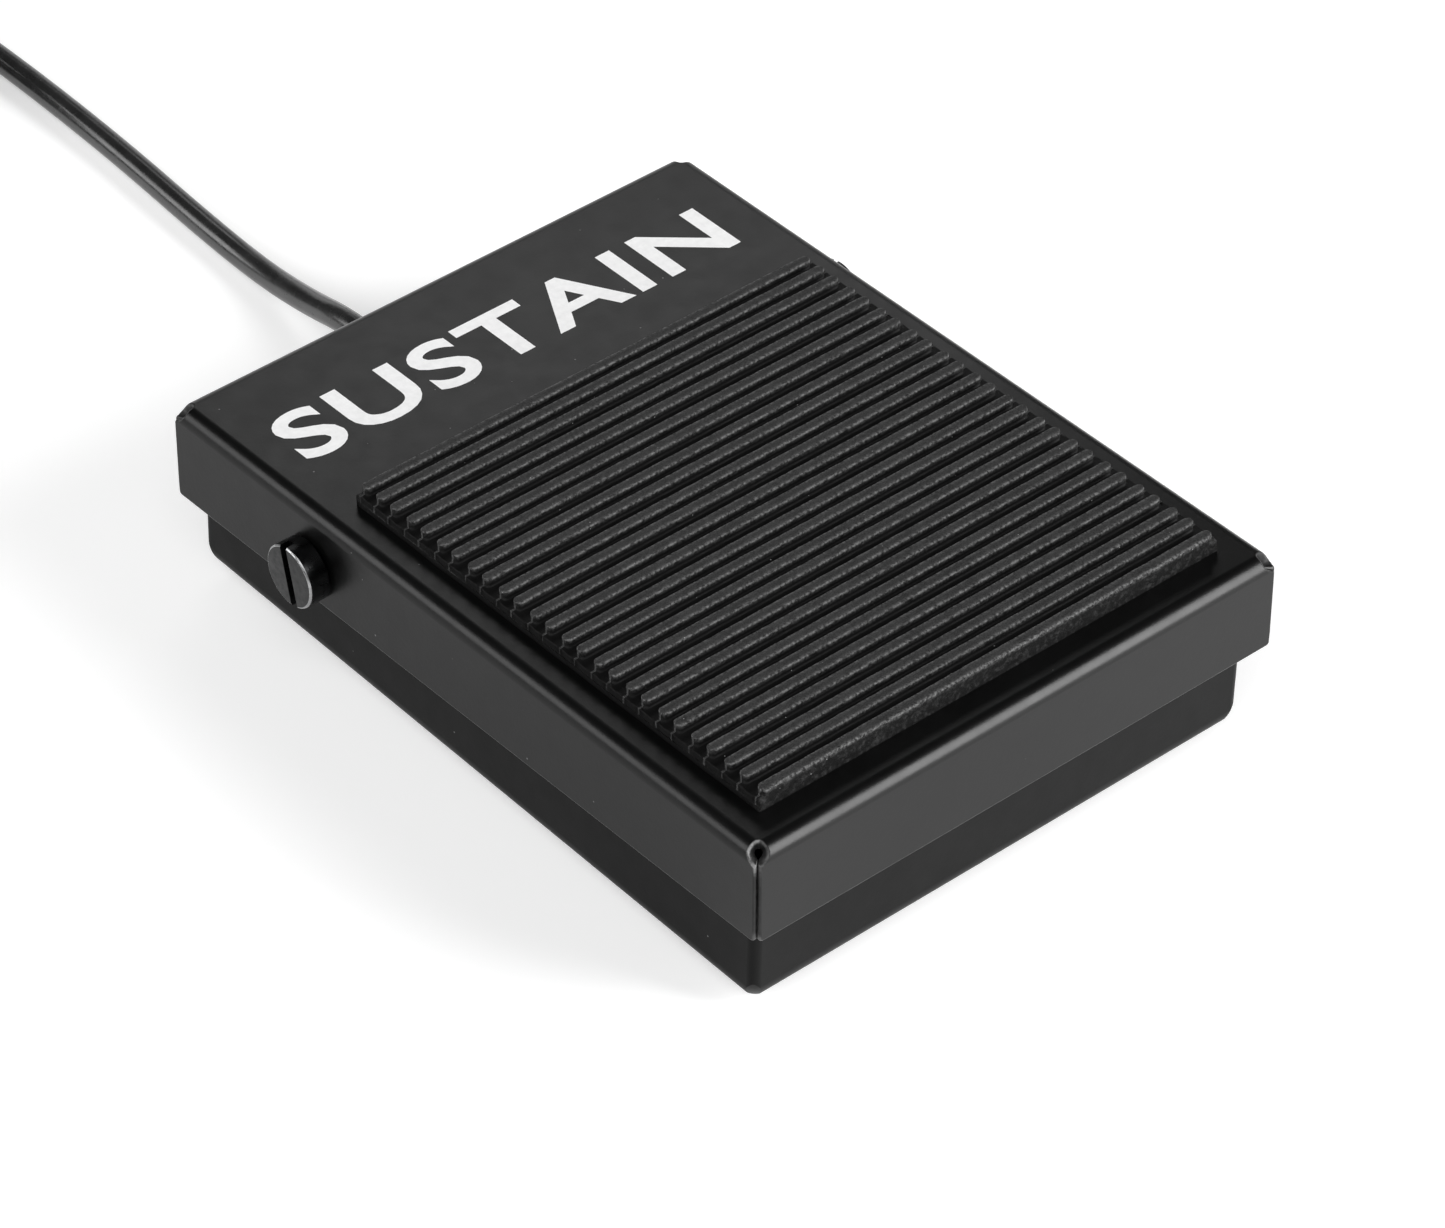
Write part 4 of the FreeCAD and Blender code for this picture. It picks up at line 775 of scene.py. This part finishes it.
def blank_rows():
    """Pairs of end points of the straight rows of points along the bends and across the top."""
    rows = []
    for k in range(BEND_ROWS + 2):
        along = max(BEND_END * k / BEND_ROWS, 0.001) if k <= BEND_ROWS else BEND_END + 0.6
        past = NOTCH
        if along > NOTCH_HIGH:
            share = min(1.0, (along - NOTCH_HIGH) / (NOTCH_LOW - NOTCH_HIGH))
            past = SEAM_END - (SEAM_END - NOTCH) * math.sqrt(1 - share ** 2)
        reach = past - 0.47
        for side in (-1, 1):
            x = side * (SIDE_LINE + along)
            y = side * along + (REAR_LINE if side > 0 else -FRONT_LINE)
            rows.append((Vector((x, -FRONT_LINE - reach)), Vector((x, REAR_LINE + reach))))
            rows.append((Vector((-SIDE_LINE - reach, y)), Vector((SIDE_LINE + reach, y))))
    for k in range(1, TOP_ROWS):
        y = -FRONT_LINE + (FRONT_LINE + REAR_LINE) * k / TOP_ROWS
        rows.append((Vector((-SIDE_LINE + 1.0, y)), Vector((SIDE_LINE - 1.0, y))))
    return rows


def neighbours(loops):
    """Each pair of numbers of neighbouring points, when the loops are numbered one after the other."""
    start = 0
    for loop in loops:
        for k in range(len(loop)):
            yield start + k, start + (k + 1) % len(loop)
        start += len(loop)


def foot_plate():
    """The folded foot plate: flat top, four bends and flanges, notched corners, seams, softened arrises."""
    loops = [blank_outline(), bore_outline(1), bore_outline(-1)]
    edge = [point for loop in loops for point in loop]
    turns = [turn for loop in loops for turn in outward_turns(loop)]
    count = len(edge)

    points = [Vector((u - t.x * r, v - t.y * r)) for (u, v, r, _), t in zip(edge, turns)]
    constraints = list(neighbours(loops))
    for a, b in blank_rows():
        steps = max(1, round((b - a).length / ROW_STEP))
        first = len(points)
        points += [a.lerp(b, k / steps) for k in range(steps + 1)]
        constraints += [(first + k, first + k + 1) for k in range(steps)]
    inside_outline = 1
    face = [list(range(len(loops[0])))]
    made, _, triangles, came_from, _, _ = delaunay_2d_cdt(points, constraints, face, inside_outline, 1e-6)
    bores = [Vector((side * BORE_OUT, 0.0)) for side in (-1, 1)]
    kept = []
    for triangle in triangles:
        centre = sum((made[i] for i in triangle), Vector((0.0, 0.0))) / 3
        if min((centre - bore).length for bore in bores) > HINGE_BORE:
            kept.append(tuple(triangle))
    at_edge = {source: i for i, sources in enumerate(came_from) for source in sources if source < count}
    edge_of = {i: source for source, i in at_edge.items()}

    vertices, normals = [], []

    def add(u, v, w, normal):
        place, turned = fold(u, v, w, normal)
        vertices.append(place)
        normals.append(turned.normalized())
        return len(vertices) - 1

    upper = [add(p.x, p.y, 0.0, (0, 0, 1)) for p in made]
    lower = []
    for i, p in enumerate(made):
        if i in edge_of:
            (u, v, _, _), t = edge[edge_of[i]], turns[edge_of[i]]
            lower.append(add(u - t.x * 0.1, v - t.y * 0.1, -SHEET, (t.x * 0.7, t.y * 0.7, -0.7)))
        else:
            lower.append(add(p.x, p.y, -SHEET, (0, 0, -1)))
    faces = [tuple(upper[i] for i in triangle) for triangle in kept]
    faces += [tuple(lower[i] for i in reversed(triangle)) for triangle in kept]

    rings = [[upper[at_edge[k]] for k in range(count)]]
    arris_start = len(vertices)
    for step in range(1, ARRIS_STEPS + 1):
        slope = step * math.pi / (2 * ARRIS_STEPS)
        rise, run = math.cos(slope), math.sin(slope)
        rings.append([add(u - t.x * r * (1 - run), v - t.y * r * (1 - run), -r * (1 - rise),
                          (t.x * run, t.y * run, rise)) for (u, v, r, _), t in zip(edge, turns)])
    wall_start = len(vertices)
    for depth, tilt in ((SEAM_DEPTH, 0.0), (SHEET - 0.1, -0.1)):
        rings.append([add(u, v, -depth, (t.x, t.y, tilt)) for (u, v, _, _), t in zip(edge, turns)])
    rings.append([lower[at_edge[k]] for k in range(count)])
    for a, b in neighbours(loops):
        faces += [(near[b], near[a], far[a], far[b]) for near, far in zip(rings, rings[1:])]

    mesh = bpy.data.meshes.new("foot_plate")
    mesh.from_pydata([PLATE @ v for v in vertices], [], faces)
    assert not mesh.validate(), "foot plate mesh"
    # worn: arrises and cut walls painted pale, partly worn coat and partly painted highlight and glints
    worn = [0.0] * arris_start
    worn += [wear_and_glint * share for share in ARRIS_WEAR_AND_GLINT for _, _, _, wear_and_glint in edge]
    worn += [WALL_WEAR_AND_GLINT] * (len(vertices) - wall_start)
    mesh.attributes.new("worn", "FLOAT", "POINT").data.foreach_set("value", worn)
    mesh.shade_smooth()
    turn = PLATE.to_3x3().normalized()
    mesh.normals_split_custom_set_from_vertices([(turn @ n).normalized() for n in normals])
    mesh.materials.append(FINISHES["cover_paint"])
    return put(link("foot_plate", mesh), "pedal", "cover_paint", "pedal_cover")


# ---------------------------------------------------------------- tread pad
RIB_END = PAD_WIDTH / 2 - 0.5
RIB_NOSE = 0.6                                           # rounding of the rib ends, seen from above
CUT_WALL = (0.0, 0.05, 0.35, 0.7, 1.05, 1.4)             # heights on the front and rear faces
END_SQUEEZE = (0.02, 0.5, 0.9)                           # share of the full height on the end faces
END_MIDDLE = 0.7                                         # height that the end faces close towards


def pad_section():
    """Outline of the ribbed pad across the ribs: (y, height, (rib, offset, height), top, arris, cut face)."""
    front = PAD_REAR - RIB_WIDTH
    fronts = [front]
    for index in range(1, RIB_COUNT):
        front -= RIB_STEP_SHORT if index < 3 or index % 2 == 0 else RIB_STEP_LONG
        fronts.append(front)
    rise = PAD_HEIGHT - PAD_BASE
    half = RIB_WIDTH / 2
    rear_half = [(half, 0.0, 0.0, 0.0), (half, 0.35 * rise, 0.0, 0.0), (half, 0.75 * rise, 0.0, 0.3),
                 (half - 0.03, 0.93 * rise, 0.3, 1.0), (half - 0.11, rise, 0.9, 1.0),
                 (half - 0.28, rise, 1.0, 0.3), (0.15, rise, 1.0, 0.0)]
    profile = rear_half + [(-offset, *rest) for offset, *rest in reversed(rear_half)]
    section = [(PAD_REAR, height, None, 0.0, 0.0, 1.0) for height in CUT_WALL]
    for index, front in enumerate(fronts):
        middle = (front + (front + RIB_WIDTH)) / 2
        for offset, height, top, arris in profile:
            at_rear = index == 0 and offset >= half
            at_front = index == RIB_COUNT - 1 and offset <= -half
            section.append((middle + offset, PAD_BASE + height, (middle, offset, height), top, arris,
                            1.0 if at_rear or at_front else 0.0))
        if index < RIB_COUNT - 1:
            gap = front - fronts[index + 1] - RIB_WIDTH
            for share, dip in ((0.12, 0.02), (0.5, 0.06), (0.88, 0.02)):
                section.append((front - gap * share, PAD_BASE - dip, None, 0.0, 0.0, 0.0))
    front = fronts[-1]
    section += [(front, height, None, 0.0, 0.0, 1.0) for height in reversed(CUT_WALL)]
    steps = 24
    section += [(front + (PAD_REAR - front) * k / steps, 0.0, None, 0.0, 0.0, 0.0) for k in range(1, steps)]
    return section


def ragged(x, y, z, seed, size, depth):
    """Uneven shift of a point, up to about depth, in lumps of that size."""
    return depth * noise.noise(Vector((x / size + seed, y / size, z / size)))


def pad_ring(section, x, squeeze=1.0):
    """The section at one place along the ribs, roughened, and squeezed where it closes an end face."""
    points = []
    beyond = abs(x) - (RIB_END - RIB_NOSE)
    narrow = 1.0 if beyond <= 0 else math.sqrt(max(0.03, 1 - (beyond / RIB_NOSE) ** 2))
    past_ribs = abs(x) > RIB_END + 0.01
    for y, z, rib, top, arris, cut_face in section:
        place_y, place_z = y, z
        if rib:
            middle, offset, height = rib
            place_y = middle + offset * narrow
            place_z = PAD_BASE + (0.0 if past_ribs else height)
            if 0.0 < height and not past_ribs:
                place_y += ragged(x, middle, height, 3.0 + math.copysign(2.0, offset), 0.9, 0.045) * arris
                place_z += ragged(x, place_y, 0, 9.0, 0.7, 0.03) * top
                place_z -= 0.03 * arris * abs(ragged(x, place_y, 1, 11.0, 0.5, 1.0))
        elif PAD_BASE - 0.1 < z < PAD_BASE:
            place_z += ragged(x, y, 0, 5.0, 1.4, 0.05)
        if cut_face and z > 0.02:
            place_y += ragged(x, 0, z, 21.0, 0.8, 0.09) + ragged(x, 0, z, 23.0, 0.35, 0.04)
        place_z = place_z * squeeze + (1 - squeeze) * END_MIDDLE
        place_x = x
        if abs(x) > RIB_END + 0.05:
            place_x += math.copysign(ragged(0.0, y, z * 1.5, 31.0 + x, 1.3, 0.16), x)
            place_x += math.copysign(ragged(0.0, y, z, 35.0 + x, 0.4, 0.05), x)
        points.append((place_x, place_y, TOP_Z + max(place_z, 0.0)))
    return points


def tread_pad():
    """Ribbed rubber pad: ribs with rounded ends, worn arrises marked to be painted pale (partly as painted
    highlight), rough cut faces and a ragged outline.
    """
    section = pad_section()
    half = PAD_WIDTH / 2
    nose_steps = (1.0, 0.98, 0.93, 0.85, 0.72, 0.55, 0.35, 0.15)
    margin = [half, half - 0.06, half - 0.2, RIB_END + 0.03]
    margin += [RIB_END - RIB_NOSE * (1 - t) for t in nose_steps]
    first = margin[-1] - 0.1
    count = 104
    inner = [first - 2 * first * k / count for k in range(count + 1)]
    rings = [pad_ring(section, half, squeeze) for squeeze in END_SQUEEZE]
    rings += [pad_ring(section, x) for x in margin + inner + [-x for x in reversed(margin)]]
    rings += [pad_ring(section, -half, squeeze) for squeeze in reversed(END_SQUEEZE)]

    vertices, faces = skin(rings, capped=True)
    mesh = bpy.data.meshes.new("tread_pad_ribbed")
    mesh.from_pydata([PLATE @ Vector(v) for v in vertices], [], faces)
    for name, column in (("top", 3), ("edge", 4), ("cut", 5)):
        values = [part[column] for _ in rings for part in section]
        mesh.attributes.new(name, "FLOAT", "POINT").data.foreach_set("value", values)
    face_outward(mesh)
    mesh.shade_smooth()
    mesh.materials.append(FINISHES["tread_rubber"])
    return put(link("tread_pad_ribbed", mesh), "pedal", "tread_rubber", "tread_pad")


def print_band():
    """The white print behind the pad, as a generic word in plain capitals."""
    text = bpy.data.curves.new("print", "FONT")
    text.body = "SUSTAIN"
    text.size = 1.0
    text.space_character = 1.08
    text.offset = 0.020
    text.resolution_u = 6
    text.extrude = 0.5
    letters = link("print", text)
    mesh = applied(letters)
    bpy.data.objects.remove(letters)
    low = [min(v.co[i] for v in mesh.vertices) for i in range(3)]
    high = [max(v.co[i] for v in mesh.vertices) for i in range(3)]
    start = Vector((-31.6, 6.3, TOP_Z - 0.01))  # just sunk into the coat
    size = Vector((61.9, 8.7, 0.03))
    for vertex in mesh.vertices:
        share = [(vertex.co[i] - low[i]) / (high[i] - low[i]) for i in range(3)]
        vertex.co = PLATE @ (start + Vector(size[i] * share[i] for i in range(3)))
    face_outward(mesh, weld=1e-7)
    mesh.materials.clear()
    mesh.materials.append(PRINT_INK)
    piece = link("print_sustain", mesh)
    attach(piece, "pedal")
    return piece


# ---------------------------------------------------------------- screws and spring
SCREW_HEAD = 3.85
SCREW_CHAMFER = 0.20
SCREW_FACE_X = COVER_WIDTH / 2 + 3.0                     # outer face of the head
SCREW_UNDER_X = COVER_WIDTH / 2 + 0.35
SCREW_SLOT = (2.6, 1.1, 12.0)                            # twice its depth, width, more than its length
SCREW_SLOT_TILT = math.radians(-14.0)
TRAY_SIDE = 35.0
SHOULDER = 2.5
THREAD = 2.0

SPRING_RADIUS = 5.0                                      # middle of the wire
SPRING_WIRE = 0.65
SPRING_TURNS = 8.0
SPRING_CLOSED = 1.0                                      # turns that touch at each end
SPRING_STEPS = 288
SPRING_SIDES = 14


def pivot_screw(side):
    """Slotted shoulder screw of the hinge: blackened head with a worn face and a bright chamfer."""
    hand = "right" if side > 0 else "left"
    low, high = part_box(f"pivot_screw_{hand}")
    inner_end = min(abs(low.x), abs(high.x)) / MM
    profile = [(SCREW_FACE_X, 0.0), (SCREW_FACE_X, SCREW_HEAD - SCREW_CHAMFER),
               (SCREW_FACE_X - SCREW_CHAMFER, SCREW_HEAD), (SCREW_UNDER_X, SCREW_HEAD),
               (SCREW_UNDER_X, SHOULDER), (TRAY_SIDE + 0.001, SHOULDER), (TRAY_SIDE, THREAD),
               (inner_end + 0.5, THREAD), (inner_end, 1.5), (inner_end, 0.0)]
    place = Matrix.Translation(HINGE) @ Matrix.Diagonal((side, 1, 1, 1))
    piece = lathe(f"hinge_screw_{hand}", rounded_line(profile, 0.07, 3), SCREW_SIDE, place, 96)
    bpy.ops.mesh.primitive_cube_add(size=1.0)
    blade = bpy.context.object
    blade.scale = Vector(SCREW_SLOT) * MM
    blade.rotation_euler = (SCREW_SLOT_TILT, 0, 0)
    blade.location = HINGE + Vector((side * SCREW_FACE_X * MM, 0, 0))
    cut(piece, blade)
    mesh = piece.data
    mesh.materials.clear()
    for material in (SCREW_SIDE, SCREW_FACE, SCREW_RIM):
        mesh.materials.append(material)
    for polygon in mesh.polygons:
        centre = (polygon.center - HINGE) / MM
        below_face = SCREW_FACE_X - abs(centre.x)
        radius = math.hypot(centre.y, centre.z)
        if abs(polygon.normal.x) > 0.97 and below_face < 0.08:
            polygon.material_index = 1
        elif (abs(polygon.normal.x) > 0.2 and below_face < SCREW_CHAMFER + 0.05
              and radius > SCREW_HEAD - SCREW_CHAMFER - 0.12):
            polygon.material_index = 2
    mesh.shade_smooth()
    mesh.set_sharp_from_angle(angle=math.radians(28))
    even = piece.modifiers.new("even", "WEIGHTED_NORMAL")
    even.keep_sharp = True
    return put(piece, "root", "screw_steel", f"pivot_screw_{hand}")


def spring():
    """Compression spring with closed ends, as tall as the CAD spring."""
    low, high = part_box("return_spring")
    bottom = low.z / MM + SPRING_WIRE
    rise = high.z / MM - SPRING_WIRE - bottom
    pitch = 1.8 * SPRING_WIRE  # of the closed turns
    rings = []
    for k in range(SPRING_STEPS + 1):
        turn = k / SPRING_STEPS * SPRING_TURNS
        if turn < SPRING_CLOSED:
            height = pitch * turn
        elif turn > SPRING_TURNS - SPRING_CLOSED:
            height = rise - pitch * (SPRING_TURNS - turn)
        else:
            open_share = (turn - SPRING_CLOSED) / (SPRING_TURNS - 2 * SPRING_CLOSED)
            height = pitch + (rise - 2 * pitch) * open_share
        outward = Vector((math.cos(2 * math.pi * turn), math.sin(2 * math.pi * turn), 0.0))
        centre = outward * SPRING_RADIUS + Vector((0.0, 0.0, bottom + height))
        r = SPRING_WIRE * (0.98 if 0 < k < SPRING_STEPS else 0.7)
        rings.append([centre + outward * (r * math.cos(a)) + Vector((0.0, 0.0, r * math.sin(a)))
                      for a in (2 * math.pi * j / SPRING_SIDES for j in range(SPRING_SIDES))])
    middle_y = (low.y + high.y) / 2
    place = Matrix.Translation((0, middle_y, 0)) @ Matrix.Scale(MM, 4)
    piece = new_piece("spring_wound", *skin(rings, capped=True), FINISHES["spring_steel"], place)
    put(piece, "root", "spring_steel", "return_spring")
    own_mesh(piece)
    return piece


# ---------------------------------------------------------------- view
def camera():
    """Camera above the near left corner, far off, with a long lens."""
    azimuth = math.radians(CAMERA_AZIMUTH)
    elevation = math.radians(CAMERA_ELEVATION)
    back = Vector((math.sin(azimuth) * math.cos(elevation), -math.cos(azimuth) * math.cos(elevation),
                   math.sin(elevation)))
    data = bpy.data.cameras.new("camera")
    data.sensor_width = 36.0
    data.lens = CAMERA_LENS
    data.clip_start = 0.01
    data.clip_end = 20.0
    made = link("camera", data)
    roll = Matrix.Rotation(math.radians(CAMERA_ROLL), 3, "Z").to_quaternion()
    turn = (-back).to_track_quat("-Z", "Y") @ roll
    made.matrix_world = Matrix.Translation(CAMERA_AIM + back * CAMERA_DISTANCE) @ turn.to_matrix().to_4x4()
    bpy.context.scene.camera = made


def softbox(name, direction, distance, width, height, power):
    """Area light that faces the pedal from a direction."""
    data = bpy.data.lights.new(name, "AREA")
    data.shape = "RECTANGLE"
    data.size = width
    data.size_y = height
    data.energy = power
    made = link(name, data)
    away = Vector(direction).normalized()
    made.location = away * distance
    made.rotation_mode = "QUATERNION"
    made.rotation_quaternion = away.to_track_quat("Z", "Y")


def studio():
    """Pale floor with a glow of its own, like a light table, soft lights and a dim surround."""
    scene = bpy.context.scene
    scene.view_settings.view_transform = "Standard"
    world = bpy.data.worlds.new("surround")
    world.use_nodes = True
    background = world.node_tree.nodes["Background"]
    background.inputs["Color"].default_value = grey(1.0)
    background.inputs["Strength"].default_value = 0.05
    scene.world = world

    f = Finish("floor", Specular_IOR_Level=0.2, Emission_Color=grey(1.0), Emission_Strength=FLOOR_GLOW)
    tone = f.mix(f.noise(0.2, 2.0), grey(0.90), grey(0.88))
    material = f.finish(tone, f.span(f.noise(0.1), 0.3, 0.7, 0.8, 0.9))
    corners = [(x * FLOOR_HALF, y * FLOOR_HALF, 0) for x, y in ((-1, -1), (1, -1), (1, 1), (-1, 1))]
    new_piece("floor", corners, [(0, 1, 2, 3)], material, Matrix.Translation((0, 0, -FLOOR_DROP)))

    for light in LIGHTS:
        softbox(*light)


dress_frame()
camera()
studio()
cord = lead()
tie = coil_tie()
plug_pieces = plug()
lead_boot = boot()
foot_plate()
tread_pad()
print_band()
pivot_screw(-1)
pivot_screw(1)
spring()
